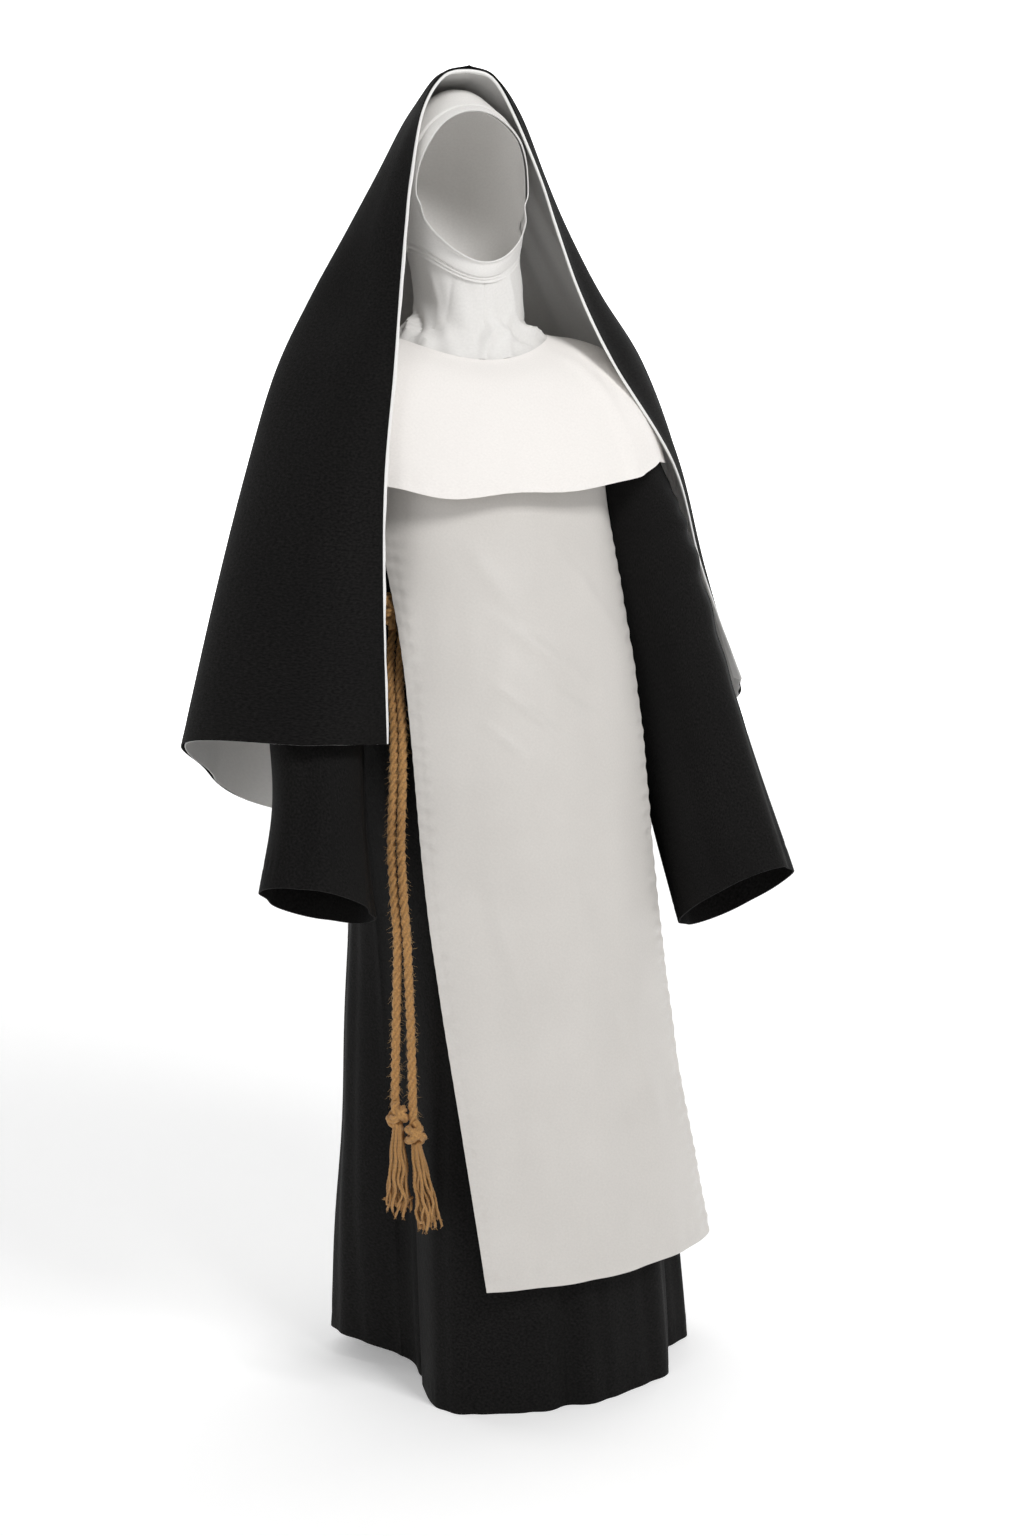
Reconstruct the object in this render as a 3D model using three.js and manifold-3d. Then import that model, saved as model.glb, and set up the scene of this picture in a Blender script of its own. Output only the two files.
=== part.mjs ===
// Religious habit of a nun, worn form with nobody in it: a long black gown with
// open sleeves, a white front and back panel that hangs over it, a rope belt with
// two tasselled ends, a white coif, a wide white collar and a lined black veil.
// Millimetres, +Z up, the front faces -Y. Heights in the tables are above the floor;
// the finished group is lowered so that its origin is between the shoulders.
import * as THREE from 'three';
import { mergeVertices } from 'three/addons/utils/BufferGeometryUtils.js';
import Module from 'manifold-3d';

const wasm = await Module();
wasm.setup();

// driving sizes
const shoulderHeight = 1420;
const seamGap = 0.3;
const gownWall = 1.6;
const panelWall = 1.4;
const collarWall = 1.8;
const coifWall = 1.6;
const veilWall = 1.2;
const liningWall = 1.0;
const ropeDiameter = 12;
const panelSeat = 0.2;

const rad = (degrees) => degrees * Math.PI / 180;
const clamp = (value, low, high) => Math.min(high, Math.max(low, value));
const bell = (distance, width) => Math.exp(-((distance / width) ** 2));

// a smooth value from a table of rows, at a place along its first column
function along(rows, key, place, column) {
  let low = 0;
  while (low < rows.length - 2 && (rows[low + 1][key] - place) * (rows[1][key] - rows[0][key]) <= 0) {
    low += 1;
  }
  const high = low + 1;
  const span = rows[high][key] - rows[low][key];
  const part = clamp((place - rows[low][key]) / span, 0, 1);
  const slope = (row) => {
    const before = rows[Math.max(row - 1, 0)];
    const after = rows[Math.min(row + 1, rows.length - 1)];
    return (after[column] - before[column]) / (after[key] - before[key]);
  };
  const square = part * part;
  const cube = square * part;
  return (2 * cube - 3 * square + 1) * rows[low][column]
    + (cube - 2 * square + part) * span * slope(low)
    + (3 * square - 2 * cube) * rows[high][column]
    + (cube - square) * span * slope(high);
}

// outward direction of a surface point(u, v), with u round to the wearer's left and v upwards;
// it is taken just inside the ends, where a pole still has a width
function outward(point, u, v) {
  const step = 1e-3;
  const level = clamp(v, 0.006, 0.994);
  const across = point(u + step, level).sub(point(u - step, level));
  const up = point(u, level + step).sub(point(u, level - step));
  return across.cross(up).normalize();
}

function moved(point, distance) {
  return (u, v) => point(u, v).addScaledVector(outward(point, u, v), distance);
}

// closed geometry from corners and triangles, with shared corners joined and slivers dropped
function solidFrom(corners, faces) {
  const loose = new THREE.BufferGeometry();
  loose.setAttribute('position', new THREE.Float32BufferAttribute(corners.flatMap((p) => [p.x, p.y, p.z]), 3));
  loose.setIndex(faces.flat());
  const joined = mergeVertices(loose, 2e-3);
  const kept = [];
  const index = joined.index.array;
  for (let at = 0; at < index.length; at += 3) {
    const [a, b, c] = [index[at], index[at + 1], index[at + 2]];
    if (a !== b && b !== c && c !== a) {
      kept.push(a, b, c);
    }
  }
  joined.setIndex(kept);
  return joined;
}

// cloth wall: the outer face follows point(u, v), the inner face lies one wall further in
function cloth(point, columns, rows, wall, closed = false, span = [0, 1]) {
  const corners = [];
  const faces = [];
  const width = closed ? columns : columns + 1;
  const at = (side, i, j) => (side * (rows + 1) + j) * width + (closed ? i % columns : i);
  for (const depth of [0, wall]) {
    for (let j = 0; j <= rows; j += 1) {
      for (let i = 0; i < width; i += 1) {
        const u = span[0] + (span[1] - span[0]) * i / columns;
        const v = j / rows;
        corners.push(point(u, v).addScaledVector(outward(point, u, v), -depth));
      }
    }
  }
  for (let j = 0; j < rows; j += 1) {
    for (let i = 0; i < columns; i += 1) {
      faces.push([at(0, i, j), at(0, i + 1, j), at(0, i + 1, j + 1)]);
      faces.push([at(0, i, j), at(0, i + 1, j + 1), at(0, i, j + 1)]);
      faces.push([at(1, i, j), at(1, i + 1, j + 1), at(1, i + 1, j)]);
      faces.push([at(1, i, j), at(1, i, j + 1), at(1, i + 1, j + 1)]);
    }
  }
  for (let i = 0; i < columns; i += 1) {
    faces.push([at(0, i, 0), at(1, i, 0), at(1, i + 1, 0)]);
    faces.push([at(0, i, 0), at(1, i + 1, 0), at(0, i + 1, 0)]);
    faces.push([at(0, i, rows), at(0, i + 1, rows), at(1, i + 1, rows)]);
    faces.push([at(0, i, rows), at(1, i + 1, rows), at(1, i, rows)]);
  }
  for (let j = 0; j < rows && !closed; j += 1) {
    faces.push([at(0, 0, j), at(0, 0, j + 1), at(1, 0, j + 1)]);
    faces.push([at(0, 0, j), at(1, 0, j + 1), at(1, 0, j)]);
    faces.push([at(0, columns, j), at(1, columns, j), at(1, columns, j + 1)]);
    faces.push([at(0, columns, j), at(1, columns, j + 1), at(0, columns, j + 1)]);
  }
  return solidFrom(corners, faces);
}

// full body inside point(u, v), closed by a fan at each end, for cutting with
function filled(point, columns, rows) {
  const corners = [];
  const faces = [];
  const at = (i, j) => j * columns + (i % columns);
  for (let j = 0; j <= rows; j += 1) {
    for (let i = 0; i < columns; i += 1) {
      corners.push(point(i / columns, j / rows));
    }
  }
  for (let j = 0; j < rows; j += 1) {
    for (let i = 0; i < columns; i += 1) {
      faces.push([at(i, j), at(i + 1, j), at(i + 1, j + 1)]);
      faces.push([at(i, j), at(i + 1, j + 1), at(i, j + 1)]);
    }
  }
  for (const [row, turned] of [[0, true], [rows, false]]) {
    const ring = corners.slice(row * columns, (row + 1) * columns);
    const middle = ring.reduce((sum, p) => sum.add(p), new THREE.Vector3()).divideScalar(columns);
    corners.push(middle);
    for (let i = 0; i < columns; i += 1) {
      const [first, second] = turned ? [at(i + 1, row), at(i, row)] : [at(i, row), at(i + 1, row)];
      faces.push([first, second, corners.length - 1]);
    }
  }
  return solidFrom(corners, faces);
}

function toSolid(geometry) {
  const bare = geometry.clone();
  bare.deleteAttribute('normal');
  bare.deleteAttribute('uv');
  const joined = mergeVertices(bare, 1e-3);
  return new wasm.Manifold(new wasm.Mesh({
    numProp: 3,
    vertProperties: new Float32Array(joined.attributes.position.array),
    triVerts: new Uint32Array(joined.index.array),
  }));
}

function toGeometry(solid) {
  const mesh = solid.getMesh();
  const geometry = new THREE.BufferGeometry();
  geometry.setAttribute('position', new THREE.BufferAttribute(new Float32Array(mesh.vertProperties), 3));
  geometry.setIndex(Array.from(mesh.triVerts));
  return geometry;
}

function cut(geometry, ...tools) {
  return toGeometry(tools.reduce((solid, tool) => solid.subtract(toSolid(tool)), toSolid(geometry)));
}

// gown: one row for each level, half sizes of its section and how far it lies forward;
// dip lowers the front and raises the back of a level where the shoulders close to the neck
const gownLevels = [
  { z: 0, side: 283, front: 219, back: 272, mid: -80, dip: 0 },
  { z: 250, side: 262, front: 208, back: 246, mid: -80, dip: 0 },
  { z: 600, side: 233, front: 190, back: 208, mid: -78, dip: 0 },
  { z: 850, side: 214, front: 170, back: 172, mid: -66, dip: 0 },
  { z: 960, side: 197, front: 150, back: 158, mid: -50, dip: 0 },
  { z: 1040, side: 172, front: 128, back: 134, mid: -30, dip: 0 },
  { z: 1080, side: 161, front: 118, back: 122, mid: -20, dip: 0 },
  { z: 1130, side: 166, front: 122, back: 122, mid: -14, dip: 0 },
  { z: 1250, side: 186, front: 138, back: 125, mid: -8, dip: 0 },
  { z: 1330, side: 196, front: 130, back: 116, mid: -2, dip: 0 },
  { z: 1385, side: 193, front: 110, back: 100, mid: 0, dip: 4 },
  { z: 1414, side: 170, front: 96, back: 84, mid: 3, dip: 10 },
  { z: 1428, side: 132, front: 86, back: 74, mid: 6, dip: 17 },
  { z: 1436, side: 92, front: 76, back: 64, mid: 10, dip: 22 },
];

// soft valleys of the skirt, by angle from the centre front towards the wearer's left
const skirtFolds = [
  { angle: -83, depth: 126, width: 26 },
  { angle: -55, depth: 36, width: 17 },
  { angle: -148, depth: 30, width: 11 },
  { angle: -22, depth: 8, width: 9 },
  { angle: 0, depth: 12, width: 4 },
  { angle: 22, depth: 8, width: 9 },
  { angle: 60, depth: 54, width: 13 },
  { angle: 84, depth: 12, width: 7 },
  { angle: 116, depth: 30, width: 11 },
  { angle: 150, depth: 34, width: 11 },
  { angle: 180, depth: 26, width: 10 },
];

// the hem hangs a little higher at the wearer's right, by angle and reach up the skirt
const hemRise = { angle: -112, height: 36, width: 34, reach: 400 };

function gownPoint(angle, z, folded = true) {
  const level = (column) => along(gownLevels, 'z', z, column);
  const turn = rad(angle);
  const facing = Math.cos(turn);
  const reach = facing > 0 ? level('front') : level('back');
  const hang = clamp((1000 - z) / 1000, 0, 1);
  let valley = 0;
  for (const fold of folded ? skirtFolds : []) {
    const away = ((angle - fold.angle + 540) % 360) - 180;
    valley += fold.depth * bell(away, fold.width) * hang ** 0.9;
  }
  const spread = Math.hypot(level('side') * Math.sin(turn), reach * facing);
  const shrink = 1 - valley / spread;
  const aside = ((angle - hemRise.angle + 540) % 360) - 180;
  const rise = hemRise.height * bell(aside, hemRise.width) * clamp(1 - z / hemRise.reach, 0, 1);
  return new THREE.Vector3(
    level('side') * Math.sin(turn) * shrink,
    level('mid') - reach * facing * shrink,
    z - level('dip') * facing * Math.abs(facing) + rise,
  );
}

// heights of the rows of its mesh, and of the panels that lie on it
const gownRows = [
  0, 120, 250, 420, 600, 730, 850, 960, 1040, 1080, 1130, 1190, 1250, 1330, 1385, 1414, 1428, 1436,
];
const gownIntervals = gownRows.length - 1;

// height at a share of the rows from low to high, straight between one row and the next
function rowHeight(heights, share) {
  const place = clamp(share, 0, 1) * (heights.length - 1);
  const low = Math.min(Math.floor(place), heights.length - 2);
  return heights[low] + (heights[low + 1] - heights[low]) * (place - low);
}

function gownPanel(fromAngle, toAngle) {
  const trim = seamGap / 2 / 200 * 180 / Math.PI;
  return (u, v) => gownPoint(
    fromAngle + trim + (toAngle - fromAngle - 2 * trim) * u,
    rowHeight(gownRows, v),
  );
}

// sleeve: centre line and half sizes of its section, from the cuff up into the shoulder
const sleeveLevels = [
  { step: 0, leftX: 303, rightX: 308, y: -208, leftZ: 665, rightZ: 668, leftOuter: 90, rightOuter: 82, depth: 66 },
  { step: 1, leftX: 288, rightX: 284, y: -150, leftZ: 800, rightZ: 800, leftOuter: 85, rightOuter: 66, depth: 67 },
  { step: 2, leftX: 277, rightX: 262, y: -78, leftZ: 960, rightZ: 960, leftOuter: 80, rightOuter: 68, depth: 69 },
  { step: 3, leftX: 256, rightX: 242, y: -28, leftZ: 1120, rightZ: 1120, leftOuter: 77, rightOuter: 69, depth: 71 },
  { step: 4, leftX: 236, rightX: 228, y: -12, leftZ: 1195, rightZ: 1195, leftOuter: 72, rightOuter: 66, depth: 71 },
  { step: 5, leftX: 215, rightX: 215, y: -4, leftZ: 1260, rightZ: 1260, leftOuter: 63, rightOuter: 63, depth: 70 },
  { step: 6, leftX: 182, rightX: 182, y: 2, leftZ: 1345, rightZ: 1345, leftOuter: 54, rightOuter: 54, depth: 64 },
  { step: 7, leftX: 130, rightX: 130, y: 4, leftZ: 1372, rightZ: 1372, leftOuter: 36, rightOuter: 36, depth: 50 },
];
const sleeveSteps = sleeveLevels.length - 1;

function sleeveCentre(side, v) {
  const level = (column) => along(sleeveLevels, 'step', clamp(v, 0, 1) * sleeveSteps, column);
  const [across, height] = side > 0 ? ['leftX', 'leftZ'] : ['rightX', 'rightZ'];
  return new THREE.Vector3(level(across), level('y'), level(height));
}

// soft folds along the lower sleeve, by angle round it
const sleeveFolds = [
  { angle: -35, depth: 7, width: 16 },
  { angle: 62, depth: 8, width: 15 },
  { angle: 148, depth: 9, width: 17 },
  { angle: 235, depth: 7, width: 15 },
];

// the inner side of a cuff hangs lower than the outer one, and the right arm is held higher
const cuffTilt = 13;
const rightSleeveLift = 44;
// the left cuff's front edge is drawn up and its back edge hangs down, each by this
const leftCuffOpen = 15;

// side is +1 for the wearer's left sleeve and -1 for the right one
function sleevePoint(side) {
  return (u, v) => {
    const centre = sleeveCentre(side, v);
    const ahead = sleeveCentre(side, Math.min(v + 0.01, 1));
    const direction = ahead.sub(sleeveCentre(side, Math.max(v - 0.01, 0))).normalize();
    const front = new THREE.Vector3(0, -1, 0).addScaledVector(direction, direction.y).normalize();
    const out = front.clone().cross(direction);
    const angle = 360 * u;
    let valley = 0;
    for (const fold of sleeveFolds) {
      const away = ((angle - fold.angle + 900) % 360) - 180;
      valley += fold.depth * bell(away, fold.width) * clamp(1.1 - 1.6 * v, 0, 1);
    }
    const outer = along(sleeveLevels, 'step', v * sleeveSteps, side > 0 ? 'leftOuter' : 'rightOuter') - valley;
    const depth = along(sleeveLevels, 'step', v * sleeveSteps, 'depth') - valley;
    const turn = rad(angle) * side;
    const place = centre
      .addScaledVector(front, depth * Math.cos(turn))
      .addScaledVector(out, -outer * Math.sin(turn));
    const nearCuff = clamp(1 - v, 0, 1);
    const tilt = cuffTilt * Math.sin(rad(angle)) * side + (side > 0 ? leftCuffOpen * Math.cos(turn) : 0);
    place.z += tilt * nearCuff ** 3 + (side < 0 ? rightSleeveLift * nearCuff : 0);
    place.x *= side;
    return place;
  };
}

// front and back panel: it hangs straight from the chest and bridges the waist
const panelLevels = [
  { z: 175, side: 262, front: 214, back: 256, mid: -80 },
  { z: 600, side: 236, front: 192, back: 211, mid: -78 },
  { z: 850, side: 217, front: 176, back: 180, mid: -67 },
  { z: 960, side: 207, front: 164, back: 176, mid: -55 },
  { z: 1080, side: 198, front: 148, back: 166, mid: -32 },
  { z: 1180, side: 190, front: 138, back: 146, mid: -16 },
  { z: 1250, side: 186.8, front: 138.8, back: 129, mid: -8 },
  { z: 1330, side: 196.8, front: 130.8, back: 117.2, mid: -2 },
  { z: 1385, side: 193.8, front: 110.8, back: 100.8, mid: 0 },
  { z: 1412, side: 172.3, front: 97.8, back: 85.8, mid: 3 },
];
// the middle of the front panel drifts to the wearer's left towards its hem
const panelCourse = [
  { z: 175, middle: 68, half: 182 },
  { z: 420, middle: 34, half: 172 },
  { z: 560, middle: 21.5, half: 172.5 },
  { z: 700, middle: 11, half: 171 },
  { z: 850, middle: 10, half: 172 },
  { z: 1050, middle: 16, half: 175 },
  { z: 1150, middle: 11.5, half: 174.5 },
  { z: 1250, middle: 5.5, half: 168.5 },
  { z: 1412, middle: 0, half: 150 },
];
// soft creases down the front panel, by place across its width from -1 to 1
const panelCreases = [
  { place: -0.62, depth: 3.5, width: 0.16 },
  { place: -0.18, depth: 3, width: 0.13 },
  { place: 0.36, depth: 3.5, width: 0.15 },
  { place: 0.78, depth: 2.5, width: 0.1 },
];
const panelTop = 1412;
const panelHem = { front: 179, back: 205 };
// its lower corner at the wearer's left stands off the skirt
const panelFlare = { from: 0.2, top: 600, run: 420, across: 14, out: 20 };
const panelRows = (hem) => [hem, ...gownRows.filter((z) => z > hem + 20 && z < panelTop - 10), panelTop];

// facing is +1 for the front panel and -1 for the back one
function panelPoint(facing) {
  const heights = panelRows(facing > 0 ? panelHem.front : panelHem.back);
  return (u, v) => {
    const z = rowHeight(heights, v);
    const level = (column) => along(panelLevels, 'z', z, column);
    const place = (2 * u - 1) * facing;
    const drift = facing > 0 ? along(panelCourse, 'z', z, 'middle') : 0;
    const x = drift + along(panelCourse, 'z', z, 'half') * place;
    const side = level('side');
    const reach = (facing > 0 ? level('front') : level('back')) + panelWall + panelSeat;
    const hang = clamp((1150 - z) / 900, 0, 1);
    let crest = 0;
    for (const crease of panelCreases) {
      crest += crease.depth * hang * (1 - bell(place - crease.place, crease.width));
    }
    const share = Math.sqrt(Math.max(1 - (x / (side + 6)) ** 2, 0));
    const dip = along(gownLevels, 'z', z, 'dip') * share * share * facing;
    const toCorner = clamp((place - panelFlare.from) / (1 - panelFlare.from), 0, 1) ** 2;
    const flare = facing > 0 ? toCorner * clamp((panelFlare.top - z) / panelFlare.run, 0, 1) ** 1.5 : 0;
    const y = level('mid') - facing * (reach * share + crest) - panelFlare.out * flare;
    return new THREE.Vector3(x + panelFlare.across * flare, y, z - dip);
  };
}

// collar: a wide round cape; one row for each step from the neck edge to the hem
const collarLevels = [
  { step: 0, frontY: 90.8, frontZ: 1411, sideX: 114, sideZ: 1445, backY: 83.8, backZ: 1459 },
  { step: 1, frontY: 117.8, frontZ: 1384, sideX: 166, sideZ: 1436, backY: 107.8, backZ: 1432 },
  { step: 2, frontY: 139.8, frontZ: 1343, sideX: 213, sideZ: 1414, backY: 127.8, backZ: 1396 },
  { step: 3, frontY: 156.3, frontZ: 1303, sideX: 248, sideZ: 1370, backY: 141.8, backZ: 1351 },
  { step: 4, frontY: 166.8, frontZ: 1266, sideX: 274, sideZ: 1318, backY: 150.8, backZ: 1304 },
  { step: 5, frontY: 173.8, frontZ: 1232, sideX: 290, sideZ: 1268, backY: 157.8, backZ: 1260 },
];
// shallow waves of its hem, by angle from the centre front
const collarWaves = [
  { angle: 38, depth: 7, width: 9 },
  { angle: -33, depth: 5, width: 10 },
  { angle: 68, depth: 6, width: 9 },
  { angle: -66, depth: 6, width: 10 },
  { angle: 128, depth: 6, width: 12 },
  { angle: -130, depth: 6, width: 12 },
];

function collarPoint(u, v) {
  const level = (column) => along(collarLevels, 'step', (1 - v) * (collarLevels.length - 1), column);
  const angle = 360 * u;
  const facing = Math.cos(rad(angle));
  const share = facing * facing;
  const front = facing > 0;
  let wave = 0;
  for (const fold of collarWaves) {
    const away = ((angle - fold.angle + 540) % 360) - 180;
    wave += fold.depth * bell(away, fold.width) * (1 - v) ** 1.6;
  }
  const height = front ? level('frontZ') : level('backZ');
  const reach = front ? level('frontY') : level('backY');
  const shrink = 1 - wave / 220;
  return new THREE.Vector3(
    level('sideX') * Math.sin(rad(angle)) * shrink,
    -reach * facing * shrink,
    height * share + level('sideZ') * (1 - share),
  );
}

// coif: hood of soft knit round the head and neck; spreading at its foot under the collar
const hoodLevels = [
  { z: 1435, side: 109, front: 87, back: 79, mid: 4, dip: 19 },
  { z: 1446, side: 92, front: 83, back: 72, mid: 6, dip: 18 },
  { z: 1462, side: 76, front: 78, back: 68, mid: 6, dip: 12 },
  { z: 1490, side: 67, front: 75, back: 68, mid: 6, dip: 4 },
  { z: 1530, side: 70, front: 82, back: 80, mid: 8, dip: 0 },
  { z: 1580, side: 79, front: 97, back: 95, mid: 10, dip: 0 },
  { z: 1640, side: 87, front: 104, back: 104, mid: 12, dip: 0 },
  { z: 1700, side: 82, front: 96, back: 102, mid: 14, dip: 0 },
  { z: 1733, side: 64, front: 74, back: 86, mid: 18, dip: 0 },
  { z: 1758, side: 43, front: 46, back: 62, mid: 20, dip: 0 },
  { z: 1774.4, side: 20, front: 20, back: 32, mid: 22, dip: 0 },
  { z: 1778.4, side: 0, front: 0, back: 0, mid: 26, dip: 0 },
];

function hoodPoint(u, v) {
  const bottom = hoodLevels[0].z;
  const top = hoodLevels[hoodLevels.length - 1].z;
  const z = bottom + (top - bottom) * Math.sin(v * Math.PI / 2) ** 0.9;
  const level = (column) => along(hoodLevels, 'z', z, column);
  const turn = 2 * Math.PI * u;
  const facing = Math.cos(turn);
  const reach = facing > 0 ? level('front') : level('back');
  return new THREE.Vector3(
    level('side') * Math.sin(turn),
    level('mid') - reach * facing,
    z - level('dip') * facing * Math.abs(facing),
  );
}

// face opening: an egg outline, narrower at the chin
const opening = { middle: 1641, half: 79, up: 101, down: 98, chin: 0.17 };
const chinBand = { width: 27, from: 198, to: 342 };
const openingSides = 36;

// outline grown by a margin, between two angles measured from the wearer's left
function openingOutline(margin, from, to, sides) {
  return Array.from({ length: sides + 1 }, (_, i) => {
    const turn = rad(from + (to - from) * i / sides);
    const rise = Math.sin(turn);
    const reach = rise > 0 ? opening.up : opening.down;
    const narrow = rise < 0 ? 1 - opening.chin * rise * rise : 1;
    return new THREE.Vector2(
      (opening.half + margin) * Math.cos(turn) * narrow,
      opening.middle + (reach + margin) * rise,
    );
  });
}

// prism of an upright outline, reaching forward from the middle of the head
function forwardPrism(outline, start = -4) {
  const prism = new THREE.ExtrudeGeometry(new THREE.Shape(outline), { depth: 200, bevelEnabled: false });
  prism.rotateX(Math.PI / 2);
  prism.translate(0, start, 0);
  return prism;
}

const hood = cloth(hoodPoint, 28, 14, coifWall, true);
const faceHole = forwardPrism(openingOutline(0, 0, 360 - 360 / openingSides, openingSides - 1));
const bandOuter = openingOutline(chinBand.width, chinBand.from, chinBand.to, 18);
const bandInner = openingOutline(-12, chinBand.from, chinBand.to, 18).reverse();
const bandHole = forwardPrism([...bandOuter, ...bandInner]);
const bandTrim = 0.4;
const bandTrimOuter = openingOutline(chinBand.width - bandTrim, chinBand.from + 0.3, chinBand.to - 0.3, 18);
const bandTrimInner = openingOutline(-12, chinBand.from + 0.3, chinBand.to - 0.3, 18).reverse();
const bandShape = forwardPrism([...bandTrimOuter, ...bandTrimInner], -4 - bandTrim);
const coifHood = cut(hood, faceHole, bandHole);
const coifChin = toGeometry(toSolid(hood).intersect(toSolid(bandShape)).subtract(toSolid(faceHole)));

// veil: nine lines run from the crown to the hem, in order from the front edge behind the
// wearer's left arm, round the back and over the right arm to the other front edge
const veilRows = [0, 1, 2, 3, 4, 5, 6, 7, 8, 9];
const veilLines = {
  frontLeft: [[0, -31, 1803], [36, -33, 1790], [63, -43, 1740], [96, -51, 1655], [110, -69, 1590],
    [134, -90, 1500], [180, -96, 1405], [292, -50, 1262], [356, -6, 1110], [436, 30, 938]],
  overLeftArm: [[0, -31, 1803], [46, -14, 1789], [81, -16, 1740], [117, -12, 1660], [146, -18, 1590],
    [184, -38, 1500], [240, -42, 1404], [320, 2, 1266], [376, 34, 1106], [446, 62, 906]],
  outsideLeft: [[0, -31, 1803], [34, 14, 1786], [70, 36, 1741], [117, 44, 1660], [154, 50, 1590],
    [208, 54, 1500], [268, 38, 1400], [322, 62, 1268], [356, 92, 1105], [414, 130, 868]],
  backLeft: [[0, -31, 1803], [22, 52, 1779], [46, 96, 1738], [70, 118, 1662], [88, 126, 1590],
    [118, 136, 1497], [152, 146, 1397], [200, 166, 1262], [236, 186, 1090], [262, 226, 776]],
  backMiddle: [[0, -31, 1803], [0, 62, 1777], [0, 116, 1738], [0, 142, 1662], [0, 146, 1590],
    [0, 152, 1497], [0, 166, 1397], [0, 180, 1262], [0, 200, 1090], [0, 250, 716]],
  backRight: [[0, -31, 1803], [-22, 52, 1779], [-46, 96, 1738], [-70, 118, 1662], [-88, 126, 1590],
    [-118, 132, 1497], [-152, 142, 1397], [-196, 156, 1262], [-236, 170, 1090], [-272, 190, 784]],
  outsideRight: [[0, -31, 1803], [-34, 14, 1786], [-66, 36, 1741], [-112, 44, 1660], [-154, 50, 1590],
    [-212, 46, 1500], [-270, 30, 1400], [-321, 10, 1268], [-374, -8, 1107], [-430, -14, 908]],
  overRightArm: [[0, -31, 1803], [-42, -14, 1790], [-76, -16, 1740], [-112, -12, 1660], [-144, -18, 1590],
    [-178, -34, 1500], [-222, -80, 1404], [-264, -136, 1264], [-292, -166, 1108], [-308, -202, 922]],
  frontRight: [[0, -31, 1803], [-40, -33, 1791], [-75, -44, 1743], [-97, -52, 1655], [-112, -69, 1590],
    [-130, -90, 1500], [-152, -122, 1400], [-183, -162, 1260], [-192, -170, 1110], [-195, -177, 912]],
};
const veilTables = Object.values(veilLines).map((line) => line.map(
  ([x, y, z], row) => ({ row: veilRows[row], x, y, z }),
));
// soft upright folds of the veil, by place round it from 0 to 1
const veilFolds = [
  { place: 0.2, depth: 8, width: 0.022 },
  { place: 0.31, depth: 13, width: 0.026 },
  { place: 0.4, depth: 15, width: 0.024 },
  { place: 0.5, depth: 17, width: 0.025 },
  { place: 0.6, depth: 15, width: 0.024 },
  { place: 0.7, depth: 12, width: 0.026 },
  { place: 0.9, depth: 5, width: 0.02 },
];

function veilPoint(u, v) {
  const row = (1 - v) * (veilRows.length - 1);
  const stations = veilTables.map((table, place) => ({
    place,
    x: along(table, 'row', row, 'x'),
    y: along(table, 'row', row, 'y'),
    z: along(table, 'row', row, 'z'),
  }));
  const across = clamp(u, 0, 1) * (stations.length - 1);
  let fold = 0;
  for (const each of veilFolds) {
    fold += each.depth * bell(u - each.place, each.width) * clamp((row - 4) / 5, 0, 1);
  }
  const place = new THREE.Vector3(
    along(stations, 'place', across, 'x'),
    along(stations, 'place', across, 'y'),
    along(stations, 'place', across, 'z'),
  );
  const centre = new THREE.Vector3(0, -40, place.z);
  const inwards = centre.sub(place).normalize();
  return place.addScaledVector(inwards, fold);
}

// the lining follows the veil, one wall and a gap further in
const liningSeat = 0.6;
const crownDrop = 3;
const crownTrim = 0.015;

function liningPoint(u, v) {
  const nearCrown = v ** 40;
  const depth = veilWall + liningSeat + crownDrop * nearCrown;
  return moved(veilPoint, -depth)(u, v - crownTrim * nearCrown);
}

// rope belt round the waist, its knot, two hanging ends with knots and tassels
const beltHeight = 1080;
const ropeRadius = ropeDiameter / 2;

// a place at an angle round the skirt, moved out from the crests of its folds
function onSkirt(angle, z, distance) {
  const place = gownPoint(angle, z, false);
  const near = gownPoint(angle + 1, z, false).sub(gownPoint(angle - 1, z, false));
  const away = new THREE.Vector3(near.y, -near.x, 0).normalize();
  return place.addScaledVector(away, distance);
}

function ropeTube(route, diameters = 2.4) {
  const curve = new THREE.CatmullRomCurve3(route);
  const section = new THREE.Shape(Array.from({ length: 8 }, (_, side) => {
    const turn = 2 * Math.PI * side / 8;
    return new THREE.Vector2(ropeRadius * Math.cos(turn), ropeRadius * Math.sin(turn));
  }));
  const steps = Math.round(curve.getLength() / (diameters * ropeDiameter));
  return new THREE.ExtrudeGeometry(section, { steps, extrudePath: curve, bevelEnabled: false });
}

// lumpy knot of rope: three raised turns wind round an egg form
function knot(middle, half, lean) {
  const point = (u, v) => {
    const height = Math.PI * (v - 0.5);
    const turn = 2 * Math.PI * u;
    const swell = 1 + 0.13 * Math.cos(3 * turn + lean * height) * Math.cos(height);
    return new THREE.Vector3(
      middle.x + half.x * Math.cos(height) * Math.sin(turn) * swell,
      middle.y - half.y * Math.cos(height) * Math.cos(turn) * swell,
      middle.z + half.z * Math.sin(height),
    );
  };
  return filled(point, 14, 8);
}

// tassel: a bound head and loose strands that spread from it
const tassel = { strands: 13, head: 9, spread: 20, strand: 2.4, steps: 4 };

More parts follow.
